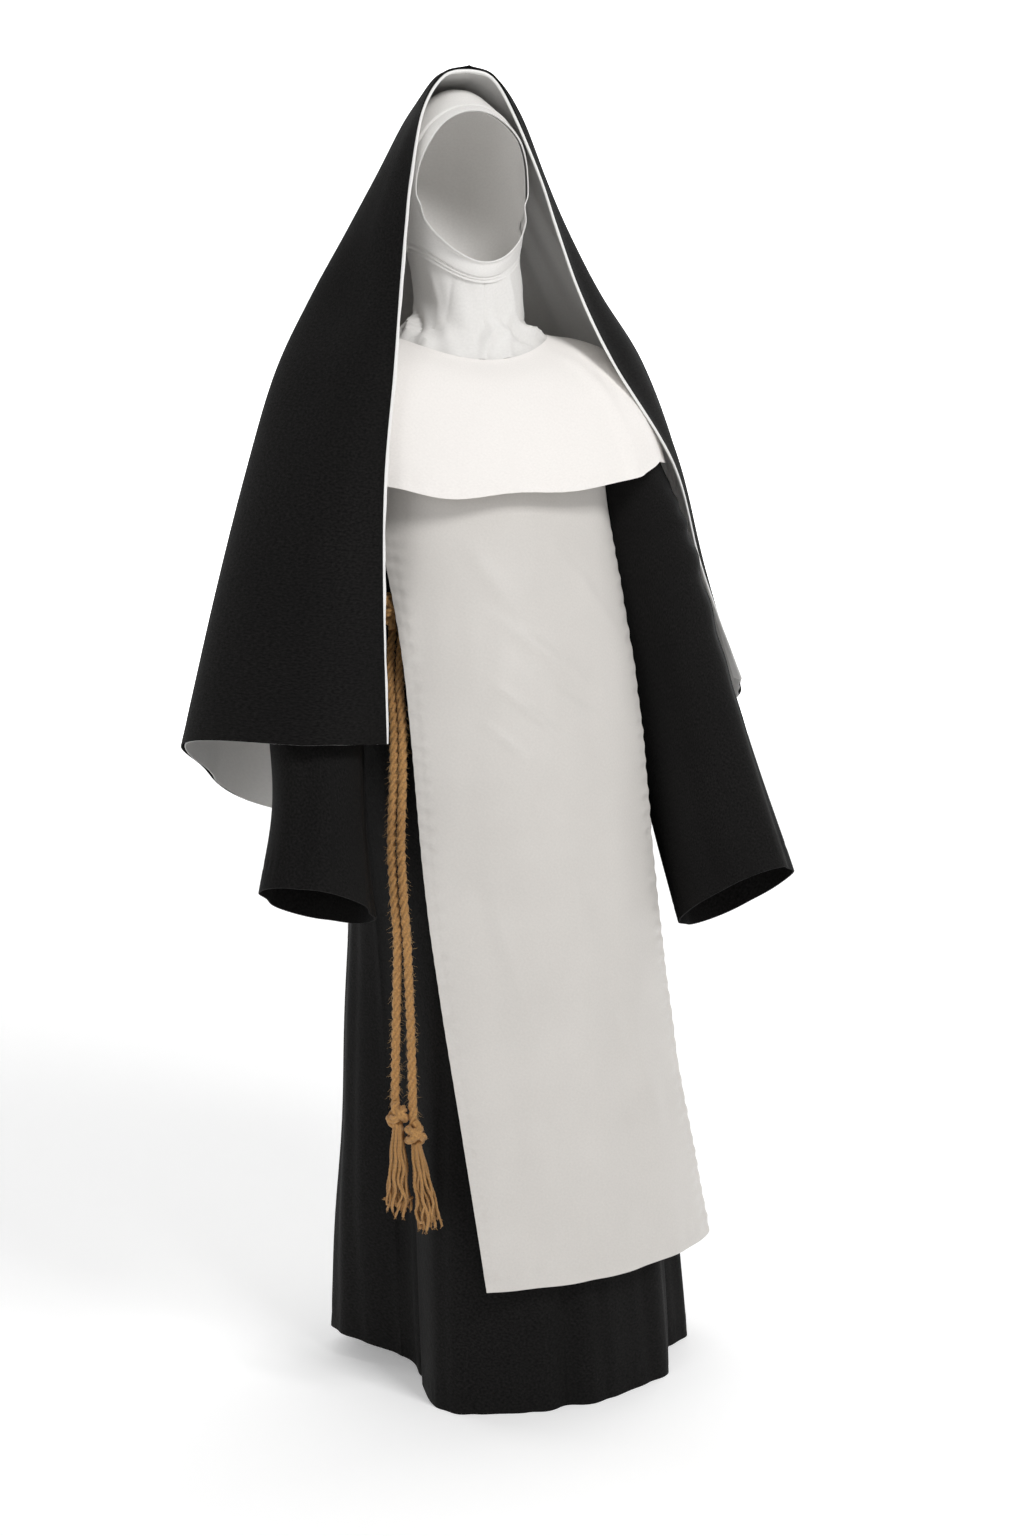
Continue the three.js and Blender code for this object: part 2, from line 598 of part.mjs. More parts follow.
function tasselBody(top, length, seed, lean) {
  const headPoint = (u, v) => {
    const turn = 2 * Math.PI * u;
    const radius = tassel.head * (0.55 + 0.45 * Math.sin(Math.PI * (0.15 + 0.7 * (1 - v))));
    return new THREE.Vector3(top.x + radius * Math.sin(turn), top.y - radius * Math.cos(turn), top.z - 22 * (1 - v));
  };
  let body = toSolid(filled(headPoint, 12, 5));
  for (let each = 0; each < tassel.strands; each += 1) {
    const turn = 2.399963 * (each + seed);
    const ring = Math.sqrt((each + 0.5) / tassel.strands);
    const wave = 3.2 * Math.sin(each * 1.7 + seed);
    const fall = length * (0.86 + 0.14 * Math.cos(each * 2.3 + seed));
    const strandPoint = (u, v) => {
      const down = 1 - v;
      const reach = (0.62 * tassel.head + (tassel.spread - tassel.head) * down ** 0.8) * ring;
      const sway = wave * Math.sin(3 * Math.PI * down) * down;
      const round = 2 * Math.PI * u;
      return new THREE.Vector3(
        top.x + lean.x * down + reach * Math.sin(turn) + sway * Math.cos(turn) + tassel.strand * Math.sin(round),
        top.y + lean.y * down - reach * Math.cos(turn) + sway * Math.sin(turn) - tassel.strand * Math.cos(round),
        top.z - 12 - (fall - 12) * down,
      );
    };
    body = body.add(toSolid(filled(strandPoint, 3, tassel.steps)));
  }
  return toGeometry(body);
}

// routes of the rope ends: angle round the skirt and height, from the belt knot down
const ropeEnds = {
  a: {
    route: [
      { angle: -60.3, z: 1064.2 }, { angle: -60.5, z: 1030 }, { angle: -58.5, z: 985 }, { angle: -56, z: 930 },
      { angle: -56, z: 860 }, { angle: -57, z: 780 }, { angle: -56, z: 710 }, { angle: -54.5, z: 650 },
      { angle: -54.5, z: 580 }, { angle: -54.5, z: 510 }, { angle: -54.2, z: 428 },
    ],
    seed: 0,
    tasselLength: 118,
    lean: { x: -7, y: -14 },
  },
  b: {
    route: [
      { angle: -54.7, z: 1064.6 }, { angle: -55, z: 1030 }, { angle: -54, z: 985 }, { angle: -52, z: 930 },
      { angle: -52, z: 860 }, { angle: -52.8, z: 780 }, { angle: -52, z: 710 }, { angle: -50.6, z: 650 },
      { angle: -49.6, z: 580 }, { angle: -48.6, z: 510 }, { angle: -47.4, z: 404 },
    ],
    seed: 3,
    tasselLength: 114,
    lean: { x: 8, y: -22 },
  },
};
const knotHalf = new THREE.Vector3(13, 13, 14);
const ropeLift = 2.4;

function ropeEnd({ route, seed, tasselLength, lean }) {
  const points = route.map(({ angle, z }) => onSkirt(angle, z, ropeRadius + ropeLift));
  const last = points[points.length - 1];
  const knotMiddle = last.clone().add(new THREE.Vector3(0, -7, -knotHalf.z + 0.3));
  const tasselTop = knotMiddle.clone().add(new THREE.Vector3(0, -2, -knotHalf.z - seamGap));
  return {
    rope: ropeTube(points),
    knot: knot(knotMiddle, knotHalf, 2.2),
    tassel: tasselBody(tasselTop, tasselLength, seed, lean),
  };
}

const beltRoute = Array.from({ length: 36 }, (_, i) => onSkirt(10 * i, beltHeight, ropeRadius + seamGap + 0.6));
const beltCurve = new THREE.CatmullRomCurve3(beltRoute, true);
const beltLoop = new THREE.TubeGeometry(beltCurve, 40, ropeRadius, 8, true);
const beltKnotMiddle = onSkirt(-57.5, beltHeight, 2 * ropeRadius + 17);
const beltKnot = knot(beltKnotMiddle, new THREE.Vector3(16.5, 12, 17.5), 2.6);
const ends = { a: ropeEnd(ropeEnds.a), b: ropeEnd(ropeEnds.b) };

// gown body inside its outer face, grown so that what meets it keeps the seam gap
const gownWhole = (u, v) => gownPoint(360 * u, rowHeight(gownRows, v));
const gownGrown = filled(moved(gownWhole, seamGap), 48, gownIntervals);
const armhole = {};
const sleeves = {};
for (const side of [1, -1]) {
  const point = sleevePoint(side);
  armhole[side] = filled(moved(point, -gownWall - 1), 18, 11);
  sleeves[side] = cut(cloth(point, 18, 11, gownWall, true), gownGrown);
}

function gownPart(fromAngle, toAngle, columns) {
  const whole = cloth(gownPanel(fromAngle, toAngle), columns, gownIntervals, gownWall);
  return cut(whole, armhole[1], armhole[-1]);
}

const finishes = {
  black: { color: 0x1b1a19, roughness: 0.9, metalness: 0 },
  panelWhite: { color: 0xdcdad6, roughness: 0.62, metalness: 0 },
  collarWhite: { color: 0xf3f0ec, roughness: 0.85, metalness: 0 },
  knitWhite: { color: 0xf0eeeb, roughness: 0.9, metalness: 0 },
  liningWhite: { color: 0xe9e8e6, roughness: 0.85, metalness: 0 },
  hemp: { color: 0xb08048, roughness: 0.95, metalness: 0 },
};

const pieces = [
  ['habit_front_right', gownPart(-90, 0, 12), 'black'],
  ['habit_front_left', gownPart(0, 90, 12), 'black'],
  ['habit_back', gownPart(90, 270, 24), 'black'],
  ['sleeve_left', sleeves[1], 'black'],
  ['sleeve_right', sleeves[-1], 'black'],
  ['scapular_front', cloth(panelPoint(1), 14, panelRows(panelHem.front).length - 1, panelWall), 'panelWhite'],
  ['scapular_back', cloth(panelPoint(-1), 10, panelRows(panelHem.back).length - 1, panelWall), 'panelWhite'],
  ['collar', cloth(collarPoint, 40, 5, collarWall, true), 'collarWhite'],
  ['coif_hood', coifHood, 'knitWhite'],
  ['coif_chin', coifChin, 'knitWhite'],
  ['veil_outer', cloth(veilPoint, 32, 12, veilWall), 'black'],
  ['veil_lining', cloth(liningPoint, 32, 12, liningWall), 'liningWhite'],
  ['belt_loop', beltLoop, 'hemp'],
  ['belt_knot', beltKnot, 'hemp'],
  ['rope_end_a', ends.a.rope, 'hemp'],
  ['rope_end_b', ends.b.rope, 'hemp'],
  ['rope_knot_a', ends.a.knot, 'hemp'],
  ['rope_knot_b', ends.b.knot, 'hemp'],
  ['tassel_a', ends.a.tassel, 'hemp'],
  ['tassel_b', ends.b.tassel, 'hemp'],
];

const garment = new THREE.Group();
for (const [name, geometry, finish] of pieces) {
  const mesh = new THREE.Mesh(geometry, new THREE.MeshStandardMaterial(finishes[finish]));
  mesh.name = name;
  garment.add(mesh);
}
garment.position.z = -shoulderHeight;

export default garment;
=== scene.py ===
# Looks of a nun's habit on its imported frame: fine cloth surfaces, hems, stitches and rope.
# Tables are in millimetres with heights above the floor, as in the part's source.
import math

import bmesh
import bpy
import numpy as np
from mathutils import Matrix


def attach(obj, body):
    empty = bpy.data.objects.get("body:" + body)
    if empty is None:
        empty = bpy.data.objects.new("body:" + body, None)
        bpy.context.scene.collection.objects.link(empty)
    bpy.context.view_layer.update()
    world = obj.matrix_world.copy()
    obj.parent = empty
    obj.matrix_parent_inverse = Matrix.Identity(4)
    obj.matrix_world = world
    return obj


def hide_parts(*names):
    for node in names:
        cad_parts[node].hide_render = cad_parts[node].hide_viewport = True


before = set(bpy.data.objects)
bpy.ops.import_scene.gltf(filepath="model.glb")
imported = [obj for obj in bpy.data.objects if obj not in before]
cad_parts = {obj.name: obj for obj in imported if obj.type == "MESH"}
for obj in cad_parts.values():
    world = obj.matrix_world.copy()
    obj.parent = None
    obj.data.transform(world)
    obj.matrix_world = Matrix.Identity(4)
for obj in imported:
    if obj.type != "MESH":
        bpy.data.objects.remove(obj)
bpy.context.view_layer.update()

SHOULDER_HEIGHT = 1420.0
GOWN_WALL = 1.6
PANEL_WALL = 1.4
PANEL_SEAT = 0.2
COLLAR_WALL = 1.8
COIF_WALL = 1.6
VEIL_WALL = 1.2
LINING_WALL = 1.0
LINING_SEAT = 0.6
SEAM_GAP = 0.3
ROPE_RADIUS = 6.0
ROPE_LIFT = 2.4
ROPE_PITCH = 41.0
BELT_HEIGHT = 1080.0
GOWN_TOP = 1436.0
SLEEVE_LENGTH = 690.0
COLLAR_DROP = 230.0
VEIL_LENGTH = 960.0


# Numbers and tables

def table(names, *rows):
    """Columns of a table by name."""
    return dict(zip(names.split(), np.array(rows, float).T))


def smooth(keys, values, place):
    """Cubic through the rows; its slope at a row is that of the line between the rows beside it."""
    keys = np.asarray(keys, float)
    values = np.asarray(values, float)
    place = np.asarray(place, float)
    count = len(keys)
    before = np.maximum(np.arange(count) - 1, 0)
    after = np.minimum(np.arange(count) + 1, count - 1)
    wide = (slice(None),) + (None,) * (values.ndim - 1)
    slopes = (values[after] - values[before]) / (keys[after] - keys[before])[wide]
    low = np.clip(np.searchsorted(keys, place, side="right") - 1, 0, count - 2)
    span = (keys[low + 1] - keys[low])[(...,) + (None,) * (values.ndim - 1)]
    part = np.clip((place - keys[low])[(...,) + (None,) * (values.ndim - 1)] / span, 0, 1)
    square = part * part
    cube = square * part
    return ((2 * cube - 3 * square + 1) * values[low] + (cube - 2 * square + part) * span * slopes[low]
            + (3 * square - 2 * cube) * values[low + 1] + (cube - square) * span * slopes[low + 1])


def along(rows, key, place, column):
    """Value of a column at a place on the table's key column."""
    return smooth(rows[key], rows[column], place)


def bell(distance, width):
    """1 at no distance, falling to 1 / e at the width."""
    return np.exp(-(distance / width) ** 2)


def step(edge0, edge1, value):
    """0 at the first edge and 1 at the second, level at both."""
    part = np.clip((value - edge0) / (edge1 - edge0), 0, 1)
    return part * part * (3 - 2 * part)


def turned(angle):
    """Angle in degrees brought between -180 and 180."""
    return (np.asarray(angle, float) + 540) % 360 - 180


def ripples(across, up, seed, waves, low, high):
    """Sum of sine waves in random directions, about -1 to 1; low and high bound their pitch."""
    random = np.random.default_rng(seed)
    total = np.zeros(np.broadcast(across, up).shape)
    for _ in range(waves):
        heading, phase = random.uniform(0, 2 * np.pi, 2)
        pitch = random.uniform(low, high)
        total += np.sin(pitch * (across * np.cos(heading) + up * np.sin(heading)) + phase)
    return total / math.sqrt(waves)


def unit(vectors):
    """Vectors over their lengths."""
    length = np.linalg.norm(vectors, axis=-1, keepdims=True)
    return vectors / np.maximum(length, 1e-9)


def outward(points, closed=False):
    """Outward directions of a grid of points, whose columns run to the wearer's left and rows upwards."""
    if closed:
        across = np.roll(points, -1, axis=1) - np.roll(points, 1, axis=1)
    else:
        across = np.gradient(points, axis=1)
    direction = np.cross(across, np.gradient(points, axis=0))
    flat = np.linalg.norm(direction, axis=-1) < 1e-7
    for row, source in ((0, 1), (-1, -2)):
        direction[row] = np.where(flat[row][:, None], direction[source], direction[row])
    return unit(direction)


def spaced(columns, crowd=0.0):
    """Places from 0 to 1, crowded towards both ends by a share."""
    even = np.linspace(0, 1, columns + 1)
    return (1 - crowd) * even + crowd * (0.5 - 0.5 * np.cos(np.pi * even))


# Meshes

def mesh_object(name, corners, faces, material, uv=None):
    """Object from corners in millimetres, set down in the part's frame in metres."""
    mesh = bpy.data.meshes.new(name)
    placed = np.array(corners, float)
    placed[:, 2] -= SHOULDER_HEIGHT
    mesh.from_pydata((placed * 0.001).tolist(), [], [tuple(face) for face in faces])
    if uv is not None:
        layer = mesh.uv_layers.new(name="cloth")
        at = np.empty(len(mesh.loops), np.int32)
        mesh.loops.foreach_get("vertex_index", at)
        layer.data.foreach_set("uv", (np.asarray(uv)[at] * 0.001).ravel())
    mesh.polygons.foreach_set("use_smooth", np.ones(len(mesh.polygons), bool))
    mesh.materials.append(material)
    obj = bpy.data.objects.new(name, mesh)
    bpy.context.scene.collection.objects.link(obj)
    return obj


def finished(obj, joined=False, sharp=42):
    """Joins corners that coincide and keeps the cloth's edges crisp."""
    if joined:
        shape = bmesh.new()
        shape.from_mesh(obj.data)
        bmesh.ops.remove_doubles(shape, verts=shape.verts, dist=2e-6)
        bmesh.ops.dissolve_degenerate(shape, edges=shape.edges, dist=1e-7)
        shape.to_mesh(obj.data)
        shape.free()
    obj.data.set_sharp_from_angle(angle=math.radians(sharp))
    return obj


def surface_uv(points):
    """Millimetres along the cloth, averaged over the rows and columns."""
    across = np.linalg.norm(np.diff(points, axis=1), axis=-1).mean(axis=0)
    up = np.linalg.norm(np.diff(points, axis=0), axis=-1).mean(axis=1)
    u = np.concatenate([[0], np.cumsum(across)])
    v = np.concatenate([[0], np.cumsum(up)])
    return np.stack(np.meshgrid(u, v), axis=-1)


def shell(name, points, wall, material, closed=False, joined=False):
    """Cloth of a wall's thickness: the grid is its outer face, the inner face lies further in."""
    rows, columns = points.shape[:2]
    inner = points - outward(points, closed) * np.broadcast_to(wall, points.shape[:2])[..., None]
    at = np.arange(rows * columns).reshape(rows, columns)
    uv = surface_uv(points).reshape(-1, 2)
    if closed:
        at = np.concatenate([at, at[:, :1]], axis=1)
    deep = at + rows * columns
    a, b, c, d = at[:-1, :-1], at[:-1, 1:], at[1:, 1:], at[1:, :-1]
    e, f, g, h = deep[:-1, :-1], deep[:-1, 1:], deep[1:, 1:], deep[1:, :-1]
    faces = [np.stack([a, b, c, d], -1).reshape(-1, 4), np.stack([h, g, f, e], -1).reshape(-1, 4)]
    faces.append(np.stack([at[0, 1:], at[0, :-1], deep[0, :-1], deep[0, 1:]], -1))
    faces.append(np.stack([at[-1, :-1], at[-1, 1:], deep[-1, 1:], deep[-1, :-1]], -1))
    if not closed:
        faces.append(np.stack([at[:-1, 0], at[1:, 0], deep[1:, 0], deep[:-1, 0]], -1))
        faces.append(np.stack([at[1:, -1], at[:-1, -1], deep[:-1, -1], deep[1:, -1]], -1))
    corners = np.concatenate([points.reshape(-1, 3), inner.reshape(-1, 3)])
    obj = mesh_object(name, corners, np.concatenate(faces).tolist(), material, np.concatenate([uv, uv]))
    return finished(obj, joined)


def carried(tangents):
    """Directions across a line, carried along it without twist."""
    first = np.cross(tangents[0], [0.31, 0.87, 0.38])
    sides = [first / np.linalg.norm(first)]
    for tangent in tangents[1:]:
        side = sides[-1] - tangent * np.dot(sides[-1], tangent)
        sides.append(side / np.linalg.norm(side))
    return np.array(sides)


def tube_parts(line, radius, sides, profile=None, closed=False):
    """Corners, faces and places of a tube. radius may differ along it; profile(turn, length) scales it."""
    line = np.asarray(line, float)
    ends = np.gradient(line, axis=0)
    if closed:
        ends = np.roll(line, -1, axis=0) - np.roll(line, 1, axis=0)
    tangents = unit(ends)
    side = carried(tangents)
    other = np.cross(tangents, side)
    length = np.concatenate([[0], np.cumsum(np.linalg.norm(np.diff(line, axis=0), axis=1))])
    turn = np.linspace(0, 2 * np.pi, sides, endpoint=False)
    if closed:
        last = carried(np.concatenate([tangents, tangents[:1]]))[-1]
        slip = math.atan2(np.dot(last, other[0]), np.dot(last, side[0]))
        fix = -slip * length / (length[-1] + np.linalg.norm(line[0] - line[-1]))
        side, other = (side * np.cos(fix)[:, None] + other * np.sin(fix)[:, None],
                       other * np.cos(fix)[:, None] - side * np.sin(fix)[:, None])
    size = np.broadcast_to(radius, len(line))[:, None] * np.ones(sides)
    if profile is not None:
        size = size * profile(turn[None, :], length[:, None])
    ring = (line[:, None] + side[:, None] * (size * np.cos(turn))[..., None]
            + other[:, None] * (size * np.sin(turn))[..., None])
    rows = len(line)
    at = np.arange(rows * sides).reshape(rows, sides)
    at = np.concatenate([at, at[:, :1]], axis=1)
    if closed:
        at = np.concatenate([at, at[:1]], axis=0)
    faces = np.stack([at[:-1, :-1], at[:-1, 1:], at[1:, 1:], at[1:, :-1]], -1).reshape(-1, 4).tolist()
    if not closed:
        faces.append(at[0, :-1][::-1].tolist())
        faces.append(at[-1, :-1].tolist())
    uv = np.stack(np.broadcast_arrays(turn[None, :] * 6, length[:, None]), -1).reshape(-1, 2)
    return ring.reshape(-1, 3), faces, uv


def tubes(name, parts, material):
    """One mesh from several tubes."""
    corners, faces, uv, start = [], [], [], 0
    for points, quads, places in parts:
        corners.append(points)
        uv.append(places)
        faces.extend([[at + start for at in quad] for quad in quads])
        start += len(points)
    return finished(mesh_object(name, np.concatenate(corners), faces, material, np.concatenate(uv)), sharp=75)


# Materials

def linear(code):
    """Linear colour of an sRGB hex code."""
    shares = [int(code[at:at + 2], 16) / 255 for at in (1, 3, 5)]
    return tuple(s / 12.92 if s <= 0.04045 else ((s + 0.055) / 1.055) ** 2.4 for s in shares) + (1.0,)


def node(tree, kind, links=(), **values):
    """Adds a node; values name its inputs or its own settings, links are (input, socket)."""
    made = tree.nodes.new(kind)
    for name, value in values.items():
        label = name.replace("_", " ")
        if label in made.inputs:
            made.inputs[label].default_value = value
        else:
            setattr(made, name, value)
    for name, socket in links:
        tree.links.new(socket, made.inputs[name])
    return made


def cloth(name, colour, shade, roughness, sheen, thread, weave, crinkle, crinkle_size, turn=0.0, gloss=0.3,
          grain=0.03):
    """Woven or knitted cloth. thread is the pitch of its ribs in metres, weave and crinkle are the depths of
    the two reliefs, and grain is how far its flecks stray from the dye."""
    material = bpy.data.materials.new(name)
    material.use_nodes = True
    tree = material.node_tree
    tree.nodes.clear()
    place = node(tree, "ShaderNodeTexCoord")
    scaled = node(tree, "ShaderNodeMapping", [("Vector", place.outputs["UV"])], Rotation=(0, 0, turn))
    ribs = node(tree, "ShaderNodeTexWave", [("Vector", scaled.outputs[0])], Scale=math.pi / (10 * thread),
                Distortion=0.6, Detail=1.0)
    dents = node(tree, "ShaderNodeTexNoise", [("Vector", place.outputs["Object"])], Scale=1 / crinkle_size,
                 Detail=4.0, Roughness=0.55)
    cloud = node(tree, "ShaderNodeTexNoise", [("Vector", place.outputs["Object"])], Scale=9.0, Detail=3.0)
    fleck = node(tree, "ShaderNodeTexNoise", [("Vector", scaled.outputs[0])], Scale=330.0, Detail=3.0)
    low = node(tree, "ShaderNodeMix", [(0, cloud.outputs["Fac"])], data_type="RGBA")
    low.inputs[6].default_value = linear(shade)
    low.inputs[7].default_value = linear(colour)
    spots = node(tree, "ShaderNodeMapRange", [("Value", fleck.outputs["Fac"])])
    spots.inputs["From Min"].default_value = 0.3
    spots.inputs["From Max"].default_value = 0.7
    spots.inputs["To Min"].default_value = 1 - grain * 1.2
    spots.inputs["To Max"].default_value = 1 + grain * 0.8
    tinted = node(tree, "ShaderNodeVectorMath", [(0, low.outputs[2]), (1, spots.outputs[0])],
                  operation="MULTIPLY")
    fine = node(tree, "ShaderNodeBump", [("Height", ribs.outputs["Fac"])], Strength=0.5, Distance=weave)
    bump = node(tree, "ShaderNodeBump", [("Height", dents.outputs["Fac"]), ("Normal", fine.outputs[0])],
                Strength=0.6, Distance=crinkle)
    shader = node(tree, "ShaderNodeBsdfPrincipled",
                  [("Base Color", tinted.outputs[0]), ("Normal", bump.outputs[0])], Roughness=roughness)
    shader.inputs["Specular IOR Level"].default_value = gloss
    shader.inputs["Sheen Weight"].default_value = sheen
    shader.inputs["Sheen Roughness"].default_value = 0.5
    node(tree, "ShaderNodeOutputMaterial", [("Surface", shader.outputs[0])])
    return material


def plain(name, colour, roughness, glow):
    """Even colour for the studio, with some light of its own."""
    material = bpy.data.materials.new(name)
    material.use_nodes = True
    shader = material.node_tree.nodes["Principled BSDF"]
    shader.inputs["Base Color"].default_value = linear(colour)
    shader.inputs["Roughness"].default_value = roughness
    shader.inputs["Emission Color"].default_value = linear(colour)
    shader.inputs["Emission Strength"].default_value = glow
    return material


# polyester twill, dyed black: matt, with pale flecks where the ribs catch the light
black_twill = cloth("black_twill", "#151413", "#0d0c0c", 0.8, 0.0, 0.0011, 0.0003, 0.0016, 0.009,
                    turn=0.8, gloss=0.16, grain=0.8)
# light crepe, whose twisted yarns give a matt pebbled face
black_crepe = cloth("black_crepe", "#141312", "#0f0e0e", 0.82, 0.0, 0.0009, 0.0003, 0.0016, 0.006,
                    turn=0.2, gloss=0.16, grain=0.8)
# satin-faced cotton, pressed after the hems were stitched: a soft shine on its folds
satin_cotton = cloth("satin_cotton", "#dbd7d2", "#d0ccc7", 0.42, 0.1, 0.0008, 0.00008, 0.0005, 0.012,
                     turn=0.5)
# cotton twill, starched and pressed: smooth and matt
white_twill = cloth("white_twill", "#f8f4f0", "#f3efeb", 0.8, 0.1, 0.0009, 0.00008, 0.0003, 0.02, turn=0.8)
# single jersey, knitted in fine ribs that run up the neck
white_jersey = cloth("white_jersey", "#eceae7", "#e3e1de", 0.85, 0.15, 0.001, 0.00006, 0.00015, 0.02)
# cotton lawn, greyed: painted shade for the lining, whose inside lies in shadow within the veil
lawn = cloth("cotton_lawn", "#d6d5d3", "#cccbc9", 0.8, 0.08, 0.0006, 0.00004, 0.0002, 0.015)
# the same lawn, whiter, for the lining's turned facing: painted light where the facing turns towards the lamp
lit_facing_lawn = cloth("cotton_lawn_facing_painted_light", "#f4f3f1", "#eeedeb", 0.8, 0.08, 0.0006, 0.00004, 0.0002, 0.015)
# hemp yarn, laid in three strands: rough and straw brown, with a darker brown mixed in over broad random
# patches
hemp = cloth("hemp", "#c99a60", "#9a6f40", 0.9, 0.2, 0.0016, 0.0004, 0.0005, 0.0012, turn=0.6, grain=0.25)
# single fibres of it, in a paler straw than the rope
hemp_fibre = cloth("hemp_fibre", "#d8b27c", "#bd9560", 0.9, 0.2, 0.002, 0.0, 0.0, 0.01)


# Gown

GOWN = table(
    "z side front back mid dip",
    (0, 283, 219, 272, -80, 0), (250, 262, 208, 246, -80, 0), (600, 233, 190, 208, -78, 0),
    (850, 214, 170, 172, -66, 0), (960, 197, 150, 158, -50, 0), (1040, 172, 128, 134, -30, 0),
    (1080, 161, 118, 122, -20, 0), (1130, 166, 122, 122, -14, 0), (1250, 186, 138, 125, -8, 0),
    (1330, 196, 130, 116, -2, 0), (1385, 193, 110, 100, 0, 4), (1414, 170, 96, 84, 3, 10),
    (1428, 132, 86, 74, 6, 17), (1436, 92, 76, 64, 10, 22))
SKIRT_FOLDS = table(
    "angle depth width",
    (-83, 126, 26), (-55, 36, 17), (-148, 30, 11), (-22, 8, 9), (0, 12, 4), (22, 8, 9),
    (60, 54, 13), (84, 12, 7), (116, 30, 11), (150, 34, 11), (180, 26, 10))
# narrower folds that the solids leave out, at most a few millimetres deep
FINE_FOLDS = table(
    "angle depth width",
    (-68, 5, 3.2), (-38, 3.5, 3), (-29, 3, 2.5), (-11, 3, 2.4), (12, 3, 2.4), (31, 4, 3), (44, 5, 3.2),
    (72, 5, 3), (96, 5, 3), (106, 4, 3), (129, 5, 3.5), (139, 4, 3), (163, 5, 3.4), (171, 4, 3),
    (-171, 5, 3.2), (-160, 5, 3.5), (-138, 4, 3), (-127, 5, 3.2), (-116, 4, 3), (-106, 5, 3))


def fold_depth(folds, angle):
    """Sum of the folds: each is a bell round its own angle."""
    total = np.zeros(np.shape(angle))
    for middle, depth, width in zip(*folds.values()):
        total = total + depth * bell(turned(angle - middle), width)
    return total


# the hem hangs a little higher at the wearer's right, by angle and reach up the skirt
HEM_RISE = {"angle": -112.0, "height": 36.0, "width": 34.0, "reach": 400.0}


def gown_point(angle, z, folded, fine=0.0):
    """Half ellipses in front and behind, drawn in by the folds, whose depth grows towards the hem."""
    angle, z = np.broadcast_arrays(np.asarray(angle, float), np.asarray(z, float))
    turn = np.radians(angle)
    facing = np.cos(turn)
    reach = np.where(facing > 0, along(GOWN, "z", z, "front"), along(GOWN, "z", z, "back"))
    side = along(GOWN, "z", z, "side")
    hang = np.clip((1000 - z) / 1000, 0, 1)
    valley = folded * fold_depth(SKIRT_FOLDS, angle) * hang ** 0.9
    valley = valley + fine * fold_depth(FINE_FOLDS, angle + 2 * np.sin(z / 210)) * hang ** 0.7
    shrink = 1 - valley / np.hypot(side * np.sin(turn), reach * facing)
    rise = HEM_RISE["height"] * bell(turned(angle - HEM_RISE["angle"]), HEM_RISE["width"])
    rise = rise * np.clip(1 - z / HEM_RISE["reach"], 0, 1)
    return np.stack([
        side * np.sin(turn) * shrink,
        along(GOWN, "z", z, "mid") - reach * facing * shrink,
        z - along(GOWN, "z", z, "dip") * facing * np.abs(facing) + rise], axis=-1)


def gown_reach(points):
    """How far points lie out of the upper gown, as a share of its section."""
    z = points[..., 2]
    deep = along(GOWN, "z", z, "mid") - points[..., 1]
    reach = np.where(deep > 0, along(GOWN, "z", z, "front"), along(GOWN, "z", z, "back"))
    return np.hypot(points[..., 0] / along(GOWN, "z", z, "side"), deep / reach)


def gown_cut(name, from_angle, to_angle, columns, rows, seed):
    """Piece of the gown between two seams, with slack creases, a turned hem and drawn-in seams."""
    trim = SEAM_GAP / 2 / 200 * 180 / math.pi
    angle = from_angle + trim + (to_angle - from_angle - 2 * trim) * spaced(columns, 0.15)[None, :]
    share = np.linspace(0, 1, rows + 1)[:, None]
    z = GOWN_TOP * share
    points = gown_point(angle + 0 * z, z + 0 * angle, 1.0, 1.0)
    loose = step(1010, 900, z) * step(0, 0.02, (angle - from_angle) / (to_angle - from_angle))
    loose = loose * step(0, 0.02, (to_angle - angle) / (to_angle - from_angle))
    creases = ripples(angle * 0.09, z * 0.012, seed, 9, 0.6, 1.9)
    points = points + outward(points) * (1.6 * creases * loose - 1.4 * loose)[..., None]
    # turned hem: thicker cloth up to the stitch line, which draws in a little
    hem = step(27, 24, z)
    stitch = bell(z - 25.5, 1.6)
    pucker = 0.6 * np.sin(angle * 2.6 + 3 * np.sin(angle * 0.37)) * bell(z - 24, 13)
    seam_left = bell((angle - from_angle) * 3.4, 4)
    seam_right = bell((angle - to_angle) * 3.4, 4)
    seams = 0.5 * (seam_left + seam_right) * (0.7 + 0.3 * np.sin(z * 0.45 + seed)) * step(0, 60, z)
    relief = -0.5 * stitch + pucker - seams * step(1120, 1000, z) - 0.25 * hem
    points = points + outward(points) * relief[..., None]
    wall = GOWN_WALL + 0.9 * hem + 0 * angle
    return shell(name, points, wall, black_twill)


# Sleeves

SLEEVE = table(
    "step left_x right_x y left_z right_z left_outer right_outer depth",
    (0, 303, 308, -208, 665, 668, 90, 82, 66),
    (1, 288, 284, -150, 800, 800, 85, 66, 67),
    (2, 277, 262, -78, 960, 960, 80, 68, 69),
    (3, 256, 242, -28, 1120, 1120, 77, 69, 71),
    (4, 236, 228, -12, 1195, 1195, 72, 66, 71),
    (5, 215, 215, -4, 1260, 1260, 63, 63, 70),
    (6, 182, 182, 2, 1345, 1345, 54, 54, 64),
    (7, 130, 130, 4, 1372, 1372, 36, 36, 50))
SLEEVE_FOLDS = table("angle depth width", (-35, 7, 16), (62, 8, 15), (148, 9, 17), (235, 7, 15))
CUFF_TILT = 13.0
RIGHT_SLEEVE_LIFT = 44.0
# the left cuff's front edge is drawn up and its back edge hangs down, each by this
LEFT_CUFF_OPEN = 15.0


def sleeve_centre(side, v):
    """Centre line of a sleeve, v from the cuff up into the shoulder."""
    place = np.clip(v, 0, 1) * 7
    columns = ("left_x", "y", "left_z") if side > 0 else ("right_x", "y", "right_z")
    return np.stack([along(SLEEVE, "step", place, column) for column in columns], axis=-1)


